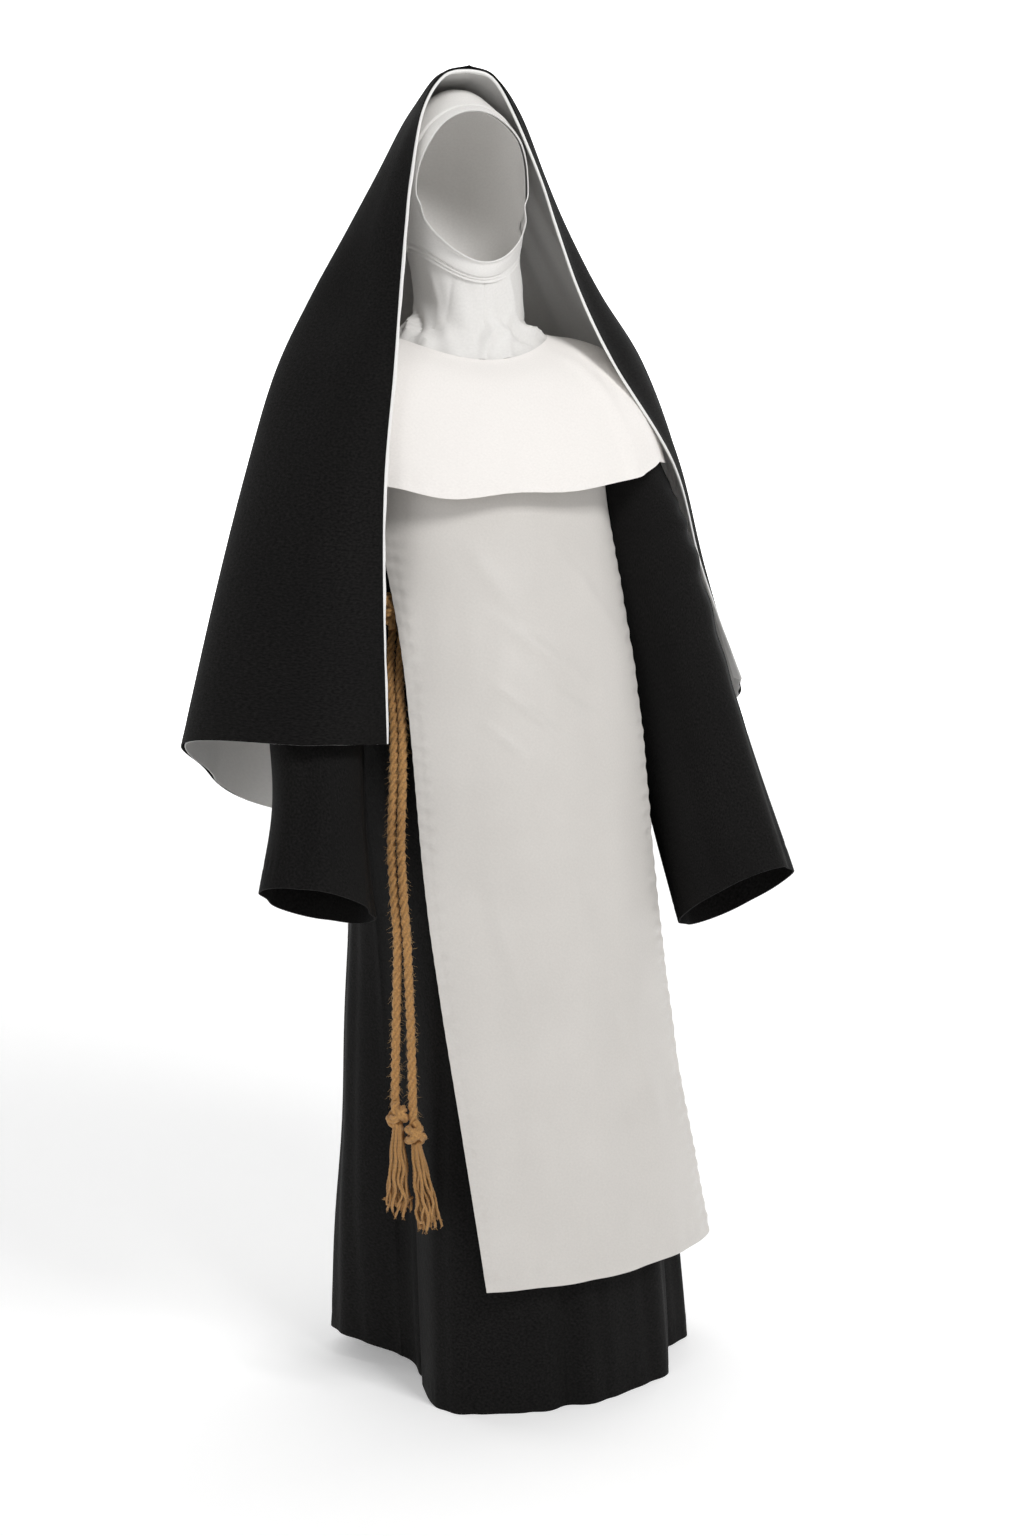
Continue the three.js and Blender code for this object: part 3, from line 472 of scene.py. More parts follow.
def sleeve_point(side, angle, v):
    """Ellipse across the centre line, drawn in by the folds and tilted at the cuff."""
    angle, v = np.broadcast_arrays(np.asarray(angle, float), np.asarray(v, float))
    direction = unit(sleeve_centre(side, v + 0.01) - sleeve_centre(side, v - 0.01))
    front = unit(np.array([0.0, -1.0, 0.0]) + direction * direction[..., 1:2])
    out = np.cross(front, direction)
    valley = fold_depth(SLEEVE_FOLDS, angle) * np.clip(1.1 - 1.6 * v, 0, 1)
    outer = along(SLEEVE, "step", v * 7, "left_outer" if side > 0 else "right_outer") - valley
    depth = along(SLEEVE, "step", v * 7, "depth") - valley
    turn = np.radians(angle) * side
    place = (sleeve_centre(side, v) + front * (depth * np.cos(turn))[..., None]
             - out * (outer * np.sin(turn))[..., None])
    near = np.clip(1 - v, 0, 1)
    opened = LEFT_CUFF_OPEN * np.cos(turn) if side > 0 else 0
    place[..., 2] += (CUFF_TILT * np.sin(np.radians(angle)) * side + opened) * near ** 3
    place[..., 2] += (RIGHT_SLEEVE_LIFT if side < 0 else 0) * near
    place[..., 0] *= side
    return place


def sleeve_cut(name, side, columns, rows, seed):
    """Sleeve up to where it leaves the gown, which halving finds for each column of the grid."""
    angle = np.linspace(0, 360, columns, endpoint=False)
    low, high = np.full(columns, 0.5), np.full(columns, 1.0)
    for _ in range(24):
        middle = (low + high) / 2
        out = gown_reach(sleeve_point(side, angle, middle)) > 1 + 0.6 / 150
        low, high = np.where(out, middle, low), np.where(out, high, middle)
    share = np.linspace(0, 1, rows + 1)[:, None]
    v = low[None, :] * share
    points = sleeve_point(side, angle[None, :] + 0 * v, v)
    turn = np.radians(angle)[None, :]
    loose = step(1.0, 0.8, share)
    creases = ripples(2.2 * np.cos(turn) + 0 * v, 2.2 * np.sin(turn) + 9 * v, seed, 9, 0.6, 2.0)
    elbow = bell(v - 0.42, 0.13) * np.sin(v * 95 + 1.6 * np.cos(turn + 0.6))
    elbow = elbow * (0.5 + 0.5 * np.cos(turn - 0.9))
    relief = (2.4 * creases - 2.0 + 2.6 * elbow) * loose
    rise = share * SLEEVE_LENGTH
    hem = step(30, 27, rise)
    pucker = 0.5 * np.sin(turn * 38 + 2 * np.sin(3 * turn)) * bell(rise - 27, 12)
    relief = relief - 0.6 * bell(rise - 28, 1.8) + pucker
    points = points + outward(points, True) * relief[..., None]
    return shell(name, points, GOWN_WALL + 0.8 * hem + 0 * v, black_twill, closed=True)


# Front and back panel

PANEL = table(
    "z side front back mid",
    (175, 262, 214, 256, -80), (600, 236, 192, 211, -78), (850, 217, 176, 180, -67),
    (960, 207, 164, 176, -55), (1080, 198, 148, 166, -32), (1180, 190, 138, 146, -16),
    (1250, 186.8, 138.8, 129, -8), (1330, 196.8, 130.8, 117.2, -2), (1385, 193.8, 110.8, 100.8, 0),
    (1412, 172.3, 97.8, 85.8, 3))
PANEL_COURSE = table(
    "z middle half",
    (175, 68, 182), (420, 34, 172), (560, 21.5, 172.5), (700, 11, 171), (850, 10, 172), (1050, 16, 175),
    (1150, 11.5, 174.5), (1250, 5.5, 168.5), (1412, 0, 150))
PANEL_CREASES = table(
    "place depth width", (-0.62, 3.5, 0.16), (-0.18, 3, 0.13), (0.36, 3.5, 0.15), (0.78, 2.5, 0.1))
# slanting pulls in the cloth: place and height of the middle, slant, length, width and depth
PANEL_PULLS = table(
    "place z slope tall width depth",
    (-0.09, 942, 0.0067, 34, 0.05, 4.2), (0.09, 1018, 0.0072, 38, 0.09, 4.2),
    (-0.3, 905, 0.006, 30, 0.05, 2.8), (0.32, 960, 0.008, 40, 0.08, -3),
    (-0.28, 1120, 0.003, 50, 0.09, 2.6), (0.5, 1105, 0.004, 60, 0.07, 3),
    (0.15, 700, 0.002, 90, 0.08, 2.4), (-0.45, 620, 0.001, 110, 0.07, 2.6),
    (0.55, 480, 0.001, 120, 0.08, 2.6))
PANEL_TOP = 1412.0
PANEL_HEM = {1: 179.0, -1: 205.0}
# its lower corner at the wearer's left stands off the skirt
PANEL_FLARE = {"from": 0.2, "top": 600.0, "run": 420.0, "across": 14.0, "out": 20.0}


def panel_point(facing, place, z):
    """Panel hung along the gown's ellipse, pushed out by its creases; facing is 1 in front, -1 behind."""
    place, z = np.broadcast_arrays(np.asarray(place, float) * facing, np.asarray(z, float))
    drift = along(PANEL_COURSE, "z", z, "middle") if facing > 0 else 0
    x = drift + along(PANEL_COURSE, "z", z, "half") * place
    side = along(PANEL, "z", z, "side")
    reach = along(PANEL, "z", z, "front" if facing > 0 else "back") + PANEL_WALL + PANEL_SEAT
    hang = np.clip((1150 - z) / 900, 0, 1)
    crest = np.zeros(z.shape)
    for middle, depth, width in zip(*PANEL_CREASES.values()):
        crest = crest + depth * hang * (1 - bell(place - middle, width))
    share = np.sqrt(np.maximum(1 - (x / (side + 6)) ** 2, 0))
    dip = along(GOWN, "z", z, "dip") * share * share * facing
    to_corner = np.clip((place - PANEL_FLARE["from"]) / (1 - PANEL_FLARE["from"]), 0, 1) ** 2
    flare = to_corner * np.clip((PANEL_FLARE["top"] - z) / PANEL_FLARE["run"], 0, 1) ** 1.5 * (facing > 0)
    y = along(PANEL, "z", z, "mid") - facing * (reach * share + crest) - PANEL_FLARE["out"] * flare
    return np.stack([x + PANEL_FLARE["across"] * flare, y, z - dip], -1)


def panel_cut(name, facing, columns, rows, seed):
    """Panel with stitched hems, puckers beside them, soft waves and, in front, slanting pulls."""
    place = 2 * spaced(columns, 0.72)[None, :] - 1
    share = np.linspace(0, 1, rows + 1)[:, None]
    z = PANEL_HEM[facing] + (PANEL_TOP - PANEL_HEM[facing]) * share
    points = panel_point(facing, place, z)
    half = along(PANEL_COURSE, "z", z, "half")
    in_from_side = half * (1 - np.abs(place))
    up_from_hem = z - PANEL_HEM[facing] + 0 * place
    free = step(1215, 1120, z)
    # stitched side hems draw the cloth into small puckers that die out inwards
    random = np.random.default_rng(seed)
    beat = np.interp(z[:, 0], np.linspace(150, 1450, 90), random.uniform(0.2, 1.0, 90))[:, None]
    run = z / 22 * 2 * np.pi + 1.6 * np.sin(z / 47) + np.sign(place) * 1.3
    pucker = np.sin(run) * beat * bell(in_from_side - 8, 9) * 2.4
    groove = -0.5 * bell(in_from_side - 9, 1.6) - 0.5 * bell(up_from_hem - 21, 2)
    hem_pucker = 0.5 * np.sin(place * 45 + 2 * np.sin(place * 7)) * bell(up_from_hem - 22, 12)
    broad = 1.6 * ripples(place * 2.2, z * 0.009, seed + 1, 8, 0.7, 1.8) * step(0, 45, in_from_side)
    small = 0.35 * ripples(place * 14, z * 0.05, seed + 2, 12, 0.8, 2.2)
    crease = 0 * place * z
    pulls = zip(*PANEL_PULLS.values()) if facing > 0 else []
    for middle, height, slope, tall, width, depth in pulls:
        crease = crease + depth * bell(place - middle + (z - height) * slope, width) * bell(z - height, tall)
    relief = (pucker + groove + hem_pucker + broad + 1.6 + small + crease) * free
    points = points + outward(points) * relief[..., None]
    wall = PANEL_WALL - 0.3 + 0.5 * np.maximum(step(9.6, 8.6, in_from_side), step(22, 20, up_from_hem))
    return shell(name, points, wall, satin_cotton)


# Collar

COLLAR = table(
    "step frontY frontZ sideX sideZ backY backZ",
    (0, 90.8, 1411, 114, 1445, 83.8, 1459), (1, 117.8, 1384, 166, 1436, 107.8, 1432),
    (2, 139.8, 1343, 213, 1414, 127.8, 1396), (3, 156.3, 1303, 248, 1370, 141.8, 1351),
    (4, 166.8, 1266, 274, 1318, 150.8, 1304), (5, 173.8, 1232, 290, 1268, 157.8, 1260))
COLLAR_WAVES = table(
    "angle depth width", (38, 7, 9), (-33, 5, 10), (68, 6, 9), (-66, 6, 10), (128, 6, 12), (-130, 6, 12))


def collar_point(angle, v):
    """Ellipse round the neck, whose height goes from the front's through the shoulders' to the back's."""
    angle, v = np.broadcast_arrays(np.asarray(angle, float), np.asarray(v, float))
    place = (1 - v) * 5
    facing = np.cos(np.radians(angle))
    share = facing * facing
    front = facing > 0
    wave = fold_depth(COLLAR_WAVES, angle) * (1 - v) ** 1.6
    height = np.where(front, along(COLLAR, "step", place, "frontZ"), along(COLLAR, "step", place, "backZ"))
    reach = np.where(front, along(COLLAR, "step", place, "frontY"), along(COLLAR, "step", place, "backY"))
    shrink = 1 - wave / 220
    return np.stack([
        along(COLLAR, "step", place, "sideX") * np.sin(np.radians(angle)) * shrink,
        -reach * facing * shrink,
        height * share + along(COLLAR, "step", place, "sideZ") * (1 - share)], axis=-1)


def collar_cut(name, columns, rows, seed):
    """Collar with a waving hem, a soft fold over each arm and a stitched edge."""
    angle = np.linspace(0, 360, columns, endpoint=False)[None, :]
    v = spaced(rows, 0.35)[:, None]
    points = collar_point(angle, v)
    turn = np.radians(angle)
    down = 1 - v
    up_from_hem = v * COLLAR_DROP
    soft = 1.0 + ripples(2.4 * np.cos(turn) + 0 * v, 2.4 * np.sin(turn) + 3.2 * v, seed, 8, 0.7, 1.8)
    # soft fold where the collar turns down over the wearer's left arm
    fold = 9 * bell(turned(angle - 44), 4) - 5.0 * bell(turned(angle - 51), 5)
    fold = fold + 3.5 * bell(turned(angle + 46), 5)
    drop = 3 * np.sin(turn * 7 + 0.7) + 2.2 * np.sin(turn * 11 + 2)
    points[..., 2] += drop * down ** 6
    pucker = 0.7 * np.sin(turn * 62 + 2.5 * np.sin(turn * 5)) * bell(up_from_hem - 11, 8)
    pucker = pucker - 0.6 * bell(up_from_hem - 12, 1.6)
    lip = 0.9 * bell(v - 1, 0.02)
    relief = soft * step(0, 0.3, down) + fold * down ** 1.4 + pucker + lip
    points = points + outward(points, True) * relief[..., None]
    wall = COLLAR_WALL + 0.6 * step(12.5, 11, up_from_hem) + 0 * angle
    return shell(name, points, wall, white_twill, closed=True)


# Coif

HOOD = table(
    "z side front back mid dip",
    (1435, 109, 87, 79, 4, 19), (1446, 92, 83, 72, 6, 18), (1462, 76, 78, 68, 6, 12),
    (1490, 67, 75, 68, 6, 4), (1530, 70, 82, 80, 8, 0), (1580, 79, 97, 95, 10, 0),
    (1640, 87, 104, 104, 12, 0), (1700, 82, 96, 102, 14, 0), (1733, 64, 74, 86, 18, 0),
    (1758, 43, 46, 62, 20, 0), (1774.4, 20, 20, 32, 22, 0), (1778.4, 0, 0, 0, 26, 0))
OPENING = {"middle": 1641.0, "half": 79.0, "up": 101.0, "down": 98.0, "chin": 0.17}
CHIN_WIDTH = 27.0
BROW_WIDTH = 10.5
STRIP_WALL = 1.4
# folds of the knit where it gathers above the collar: angle and height of the middle, slant and size
NECK_FOLDS = table(
    "angle z slant height width depth",
    (-67, 1452, -1.33, 20, 5, -9), (-55, 1446, -1.33, 20, 5.5, 8), (-84, 1456, -1.2, 22, 6, 9),
    (-104, 1452, -0.6, 24, 8, 7), (-32, 1446, -1.2, 24, 6, 5), (-16, 1434, 0.7, 28, 3.5, -5.5),
    (-5, 1440, 0.6, 26, 4, 4.5), (18, 1446, 0.9, 26, 5, 5), (32, 1448, -1.2, 22, 5, 4),
    (45, 1442, -1.4, 20, 5, -9), (60, 1447, -1.3, 20, 6, 10), (84, 1458, -0.6, 24, 7, 6),
    (130, 1462, 0.6, 30, 8, 5), (170, 1464, 0.2, 30, 8, 5), (-130, 1462, -0.6, 30, 8, 5),
    (-58, 1505, -0.3, 26, 5, 2.5), (-40, 1500, 0.25, 30, 5, -2.2), (38, 1500, -0.3, 28, 5, 2.4),
    (78, 1500, 0.0, 40, 34, 16))


def hood_level(z, column):
    """Value of one of the coif's columns at a height."""
    return along(HOOD, "z", z, column)


def hood_relief(angle, z):
    """Gathers of the neck: slanting folds, a throat seam, a slack roll above the foot and a loose drape."""
    total = np.zeros(np.broadcast(angle, z).shape)
    for middle, height, slant, tall, width, depth in zip(*NECK_FOLDS.values()):
        away = turned(angle - middle - slant * (z - height) * 0.6)
        shape = bell(away, width) if depth > 0 else np.exp(-np.abs(away) / width) * step(1438, 1450, z)
        total = total + depth * shape * bell(z - height, tall)
    throat = -1.2 * bell(turned(angle), 1.1) * step(1545, 1530, z)
    total = total + 4.4 * step(1456, 1441, z)
    roll = 1452 + 7 * np.sin(np.radians(angle * 3 + 40)) + 4 * np.sin(np.radians(angle * 7))
    total = total + (4.5 + 2.5 * np.sin(np.radians(angle * 5 + 70))) * bell(z - roll, 7)
    total = total - 2.5 * bell(z - roll - 15, 6)
    drape = 2.6 * np.sin(np.radians(angle * 5) + z * 0.045) * bell(z - 1492, 34)
    drape = drape * step(8, 25, np.abs(turned(angle)))
    return total + throat + drape


def hood_points(angle, z):
    """Half ellipses in front and behind, dipping towards the chest."""
    turn = np.radians(angle)
    facing = np.cos(turn)
    reach = np.where(facing > 0, hood_level(z, "front"), hood_level(z, "back"))
    return np.stack([
        hood_level(z, "side") * np.sin(turn) + 0 * z,
        hood_level(z, "mid") - reach * facing,
        z - hood_level(z, "dip") * facing * np.abs(facing)], axis=-1)


def hood_front(x, z):
    """Depth of the hood's front face at a place seen from the front."""
    side = hood_level(z, "side")
    facing = np.sqrt(np.maximum(1 - (x / side) ** 2, 0))
    return hood_level(z, "mid") - hood_level(z, "front") * facing


def outline(turn, margin):
    """Place on the face opening's outline, grown by a margin; turn is measured from the wearer's left."""
    turn, margin = np.broadcast_arrays(np.asarray(turn, float), np.asarray(margin, float))
    rise = np.sin(turn)
    reach = np.where(rise > 0, OPENING["up"], OPENING["down"])
    narrow = np.where(rise < 0, 1 - OPENING["chin"] * rise * rise, 1)
    return ((OPENING["half"] + margin) * np.cos(turn) * narrow,
            OPENING["middle"] + (reach + margin) * rise)


def hood_cut(name):
    """Coif from its foot to the crown, with the face opening cut by a straight prism."""
    angle = np.linspace(0, 360, 180, endpoint=False)[None, :]
    rise = np.linspace(0, 1, 116)[:, None]
    foot, crown = HOOD["z"][0], HOOD["z"][-1]
    z = foot + (crown - foot) * np.sin(rise * np.pi / 2) ** 0.9
    points = hood_points(angle, z)
    points = points + outward(points, True) * hood_relief(angle, z)[..., None]
    # at the front its foot hangs down to the collar's neck edge
    fore = np.maximum(np.cos(np.radians(angle)), 0) ** 2 * step(1468, 1437, z)
    points[..., 2] -= 7.5 * fore
    points[..., 1] -= 1.2 * fore
    hood = shell(name, points, COIF_WALL, white_jersey, closed=True, joined=True)
    # the opening is cut wider below, where the chin band covers its edge
    count = 160
    turn = np.linspace(0, 2 * np.pi, count, endpoint=False)
    degrees = np.degrees(turn)
    lower = step(196, 206, degrees) * step(344, 334, degrees)
    x, height = outline(turn, 14.0 * lower)
    corners = [np.stack([x, np.full(count, y), height], -1) for y in (-6.0, -260.0)]
    at = np.arange(count)
    after = np.roll(at, -1)
    faces = np.stack([at, after, after + count, at + count], -1).tolist()
    faces += [at[::-1].tolist(), (at + count).tolist()]
    prism = mesh_object("face_prism", np.concatenate(corners), faces, white_jersey)
    cut = hood.modifiers.new("face", "BOOLEAN")
    cut.operation = "DIFFERENCE"
    cut.solver = "EXACT"
    cut.object = prism
    shown = bpy.context.evaluated_depsgraph_get()
    mesh = bpy.data.meshes.new_from_object(hood.evaluated_get(shown))
    hood.modifiers.clear()
    hood.data = mesh
    bpy.data.objects.remove(prism)
    return finished(hood)


def face_strip(name, from_turn, to_turn, low, high, lift, columns, rows):
    """Strip of knit that follows the face opening, from a margin low to a margin high round it.
    lift(across, run) says how far it stands off the hood, and its ends narrow to the brow's hem."""
    turn = np.radians(np.linspace(from_turn, to_turn, columns + 1))[:, None]
    run = np.linspace(0, 1, columns + 1)[:, None]
    across = np.linspace(0, 1, rows + 1)[None, :]
    wide = BROW_WIDTH + (high - BROW_WIDTH) * step(0, 0.16, run) * step(1, 0.84, run)
    x, z = outline(turn, low + (wide - low) * across)
    points = np.stack([x, hood_front(x, z), z], -1)
    # square to the head, which is nearly an ellipse 87 wide and 104 deep about a middle 12 back
    slope = np.stack([x / 87 ** 2 * 90, (points[..., 1] - 12) / 104 ** 2 * 90, (z - 1640) / 400], -1)
    points = points + unit(slope) * lift(across, run)[..., None]
    points = np.swapaxes(points[::-1], 0, 1)
    if np.mean(outward(points)[..., 1]) > 0:
        points = points[:, ::-1]
    return shell(name, points, STRIP_WALL, white_jersey)


def chin_lift(across, run):
    """Rolled upper rim, two rows of stitches near the lower edge and a slack middle."""
    ends = step(0, 0.1, run) * step(1, 0.9, run)
    rim = 2.4 * bell(across - 0.04, 0.08)
    stitches = 1.8 * bell(across - 0.78, 0.045) + 1.8 * bell(across - 0.91, 0.045)
    slack = 0.8 * np.sin(across * 7 + run * 9) * np.sin(np.pi * run)
    return 0.7 + ends * (2.4 + rim - stitches + slack)


def brow_lift(across, run):
    """Turned hem of the hood, highest near the opening, stitched along its outer edge."""
    ends = step(0, 0.05, run) * step(1, 0.95, run)
    return 0.9 + ends * (0.7 + 2.8 * bell(across - 0.1, 0.6) - 1.4 * bell(across - 0.8, 0.06)
                         + 1.2 * step(0.8, 0.95, across))


# Veil and lining

# lines down the veil from the crown, from its left front edge round the back to its right one
VEIL_LINES = np.array([
    [[0, -31, 1803], [36, -33, 1790], [63, -43, 1740], [96, -51, 1655], [110, -69, 1590],
     [134, -90, 1500], [180, -96, 1405], [292, -50, 1262], [356, -6, 1110], [436, 30, 938]],
    [[0, -31, 1803], [46, -14, 1789], [81, -16, 1740], [117, -12, 1660], [146, -18, 1590],
     [184, -38, 1500], [240, -42, 1404], [320, 2, 1266], [376, 34, 1106], [446, 62, 906]],
    [[0, -31, 1803], [34, 14, 1786], [70, 36, 1741], [117, 44, 1660], [154, 50, 1590],
     [208, 54, 1500], [268, 38, 1400], [322, 62, 1268], [356, 92, 1105], [414, 130, 868]],
    [[0, -31, 1803], [22, 52, 1779], [46, 96, 1738], [70, 118, 1662], [88, 126, 1590],
     [118, 136, 1497], [152, 146, 1397], [200, 166, 1262], [236, 186, 1090], [262, 226, 776]],
    [[0, -31, 1803], [0, 62, 1777], [0, 116, 1738], [0, 142, 1662], [0, 146, 1590],
     [0, 152, 1497], [0, 166, 1397], [0, 180, 1262], [0, 200, 1090], [0, 250, 716]],
    [[0, -31, 1803], [-22, 52, 1779], [-46, 96, 1738], [-70, 118, 1662], [-88, 126, 1590],
     [-118, 132, 1497], [-152, 142, 1397], [-196, 156, 1262], [-236, 170, 1090], [-272, 190, 784]],
    [[0, -31, 1803], [-34, 14, 1786], [-66, 36, 1741], [-112, 44, 1660], [-154, 50, 1590],
     [-212, 46, 1500], [-270, 30, 1400], [-321, 10, 1268], [-374, -8, 1107], [-430, -14, 908]],
    [[0, -31, 1803], [-42, -14, 1790], [-76, -16, 1740], [-112, -12, 1660], [-144, -18, 1590],
     [-178, -34, 1500], [-222, -80, 1404], [-264, -136, 1264], [-292, -166, 1108], [-308, -202, 922]],
    [[0, -31, 1803], [-40, -33, 1791], [-75, -44, 1743], [-97, -52, 1655], [-112, -69, 1590],
     [-130, -90, 1500], [-152, -122, 1400], [-183, -162, 1260], [-192, -170, 1110], [-195, -177, 912]],
], float)
VEIL_FOLDS = table(
    "place depth width",
    (0.2, 8, 0.022), (0.31, 13, 0.026), (0.4, 15, 0.024), (0.5, 17, 0.025), (0.6, 15, 0.024),
    (0.7, 12, 0.026), (0.9, 5, 0.02))


def veil_points(u, v):
    """Grid of the veil: u across it from its left front edge to its right one, v up to the crown."""
    row = (1 - v) * 9
    lines = smooth(np.arange(10), np.swapaxes(VEIL_LINES, 0, 1), row)
    points = smooth(np.arange(9), np.swapaxes(lines, 0, 1), u * 8)
    points = np.swapaxes(points, 0, 1)
    fold = np.zeros((len(v), len(u)))
    for place, depth, width in zip(*VEIL_FOLDS.values()):
        fold = fold + depth * bell(u[None, :] - place, width) * np.clip((row[:, None] - 4) / 5, 0, 1)
    centre = np.zeros_like(points)
    centre[..., 1] = -40
    centre[..., 2] = points[..., 2]
    return points + unit(centre - points) * fold[..., None]


def veil_relief(u, v, seed):
    """Soft folds and creases that the solids leave out, inwards only near the front edges."""
    down = 1 - v[:, None]
    across = u[None, :]
    waves = ripples(across * 22 + 0 * down, down * 5, seed, 9, 0.6, 1.7)
    edge = step(0, 0.05, across) * step(1, 0.95, across)
    return (3.4 * waves * step(0.12, 0.6, down)) * edge


def veil_cut(name):
    """Veil with a narrow stitched hem and an edge that is rolled at the crown."""
    u, v = spaced(150, 0.35), np.linspace(0, 1, 141)
    points = veil_points(u, v)
    points = points + outward(points) * veil_relief(u, v, 31)[..., None]
    # the edge is rolled over the crown, where it stands above the lining's facing
    roll = (bell(u[None, :], 0.012) + bell(1 - u[None, :], 0.012)) * step(0.72, 0.9, v)[:, None]
    points = points + outward(points) * (1.4 * roll)[..., None]
    rise = v[:, None] * VEIL_LENGTH + 0 * u
    points = points - outward(points) * (0.5 * bell(rise - 12, 1.6))[..., None]
    hem = np.maximum(step(12, 10, rise), np.maximum(bell(u[None, :], 0.006), bell(1 - u[None, :], 0.006)))
    return shell(name, points, VEIL_WALL + 0.3 * hem + 1.4 * roll, black_crepe, joined=True)


def lining_points(u, v):
    """Lining inside the veil: it follows it at its seat and falls in soft folds away from the edges."""
    depth = VEIL_WALL + LINING_SEAT
    near_crown = v ** 40
    outer = veil_points(u, v - 0.015 * near_crown)
    outer = outer + outward(outer) * veil_relief(u, v, 31)[..., None]
    across, down = u[None, :], 1 - v[:, None]
    folds = np.sin(across * 43 + 2.4 * np.sin(across * 19) + 2 * down) ** 2 * step(0.02, 0.09, across)
    folds = 4 * folds * step(0.98, 0.91, across) * step(0.16, 0.3, down)
    return outer - outward(outer) * ((depth + 3 * near_crown)[:, None] + folds)[..., None]


def lining_cut(name):
    """Lining as a thin shell on its own grid."""
    u, v = spaced(130, 0.3), np.linspace(0, 1, 111)
    # the greyed lawn: painted shade on the lining
    return shell(name, lining_points(u, v), LINING_WALL, lawn, joined=True)


# section of the lining's turned facing: away from the veil's edge, and out from its outer face
FACING = np.array([
    (-14, -3.1), (-7, -3.1), (0.3, -3.1), (0.3, -0.4), (2.2, -0.2), (3.7, -0.9), (4.2, -2.0), (3.6, -3.2),
    (1.6, -4.1), (-2, -4.5), (-7, -4.3), (-13.4, -4.1)])


def facing_cut(name):
    """Turned facing of the lining along the whole front edge: a white line shows past the black edge."""
    u, v = np.array([0.0, 0.006, 0.994, 1.0]), np.linspace(0, 0.96, 150)
    points = veil_points(u, v)
    normals = outward(points)
    line = np.concatenate([points[:, 0], [[0, -31, 1801]], points[::-1, -1]])
    top = unit(normals[-1:, 0] + normals[-1:, -1] + [0, 0, 2.0])
    normal = np.concatenate([normals[:, 0], top, normals[::-1, -1]])
    length = np.concatenate([[0], np.cumsum(np.linalg.norm(np.diff(line, axis=0), axis=1))])
    even = np.linspace(0.4, length[-1] - 0.4, 420)
    place = smooth(length, line, even)
    normal = np.stack([np.interp(even, length, normal[:, axis]) for axis in range(3)], -1)
    tangent = unit(np.gradient(place, axis=0))
    normal = unit(normal - tangent * (normal * tangent).sum(-1, keepdims=True))
    away = np.cross(normal, tangent)
    beat = 1 + 0.16 * np.sin(even / 23) + 0.1 * np.sin(even / 9.1 + 1)
    reach = np.where(FACING[:, 0] > 0.5, 3.0, 0.0)[None, :] * (beat[:, None] - 1) + FACING[None, :, 0]
    crown = bell(even - length[-1] / 2, 150)[:, None]
    reach = reach * (1 - 0.55 * crown * (reach > 0))
    depth = FACING[None, :, 1] - 1.7 * crown
    ring = place[:, None] + away[:, None] * reach[..., None] + normal[:, None] * depth[..., None]
    rows, sides = ring.shape[:2]
    at = np.arange(rows * sides).reshape(rows, sides)
    at = np.concatenate([at, at[:, :1]], axis=1)
    faces = np.stack([at[:-1, :-1], at[1:, :-1], at[1:, 1:], at[:-1, 1:]], -1).reshape(-1, 4).tolist()
    faces += [at[0, :-1].tolist(), at[-1, :-1][::-1].tolist()]
    run = np.concatenate([[0], np.cumsum(np.linalg.norm(np.diff(FACING, axis=0), axis=1))])
    uv = np.stack(np.broadcast_arrays(run[None, :], even[:, None]), -1).reshape(-1, 2)
    # the whiter copy of the lawn: painted light on the facing
    return finished(mesh_object(name, ring.reshape(-1, 3), faces, lit_facing_lawn, uv), sharp=50)


# Rope

KNOT_HALF = np.array([13.0, 13.0, 14.0])
WAIST_KNOT_HALF = np.array([16.5, 12.0, 17.5])
KNOT_ROPE = 5.9
YARNS = 9.0
TASSEL_YARNS = 24
FIBRE_RADIUS = 0.21
# route: angle round the skirt and height, from the belt knot down to the end knot
ROPE_ENDS = {
    "a": {"route": [(-60.3, 1064.2), (-60.5, 1030), (-58.5, 985), (-56, 930), (-56, 860), (-57, 780),
                    (-56, 710), (-54.5, 650), (-54.5, 580), (-54.5, 510), (-54.2, 428)],
          "seed": 0, "tassel": 118.0, "lean": (-7, -14)},
    "b": {"route": [(-54.7, 1064.6), (-55, 1030), (-54, 985), (-52, 930), (-52, 860), (-52.8, 780),
                    (-52, 710), (-50.6, 650), (-49.6, 580), (-48.6, 510), (-47.4, 404)],
          "seed": 3, "tassel": 114.0, "lean": (8, -22)},
}


def on_skirt(angle, z, distance):
    """Place at a distance off the skirt without its folds, level with it."""
    place = gown_point(angle, z, 0.0)
    near = gown_point(angle + 1, z, 0.0) - gown_point(angle - 1, z, 0.0)
    away = unit(np.array([near[1], -near[0], 0.0]))
    return place + away * distance


def curve_through(points, spacing, closed=False):
    """Points at a steady spacing on a smooth line through the given ones."""
    points = np.asarray(points, float)
    if closed:
        points = np.concatenate([points[-3:], points, points[:3]])
    first, last = (2, len(points) - 3) if closed else (0, len(points) - 1)
    line = smooth(np.arange(len(points)), points, np.linspace(first, last, len(points) * 40))
    length = np.concatenate([[0], np.cumsum(np.linalg.norm(np.diff(line, axis=0), axis=1))])
    count = max(int(length[-1] / spacing), 4)
    even = np.linspace(0, length[-1], count + 1)[:(-1 if closed else None)]
    return np.stack([np.interp(even, length, line[:, axis]) for axis in range(3)], -1)


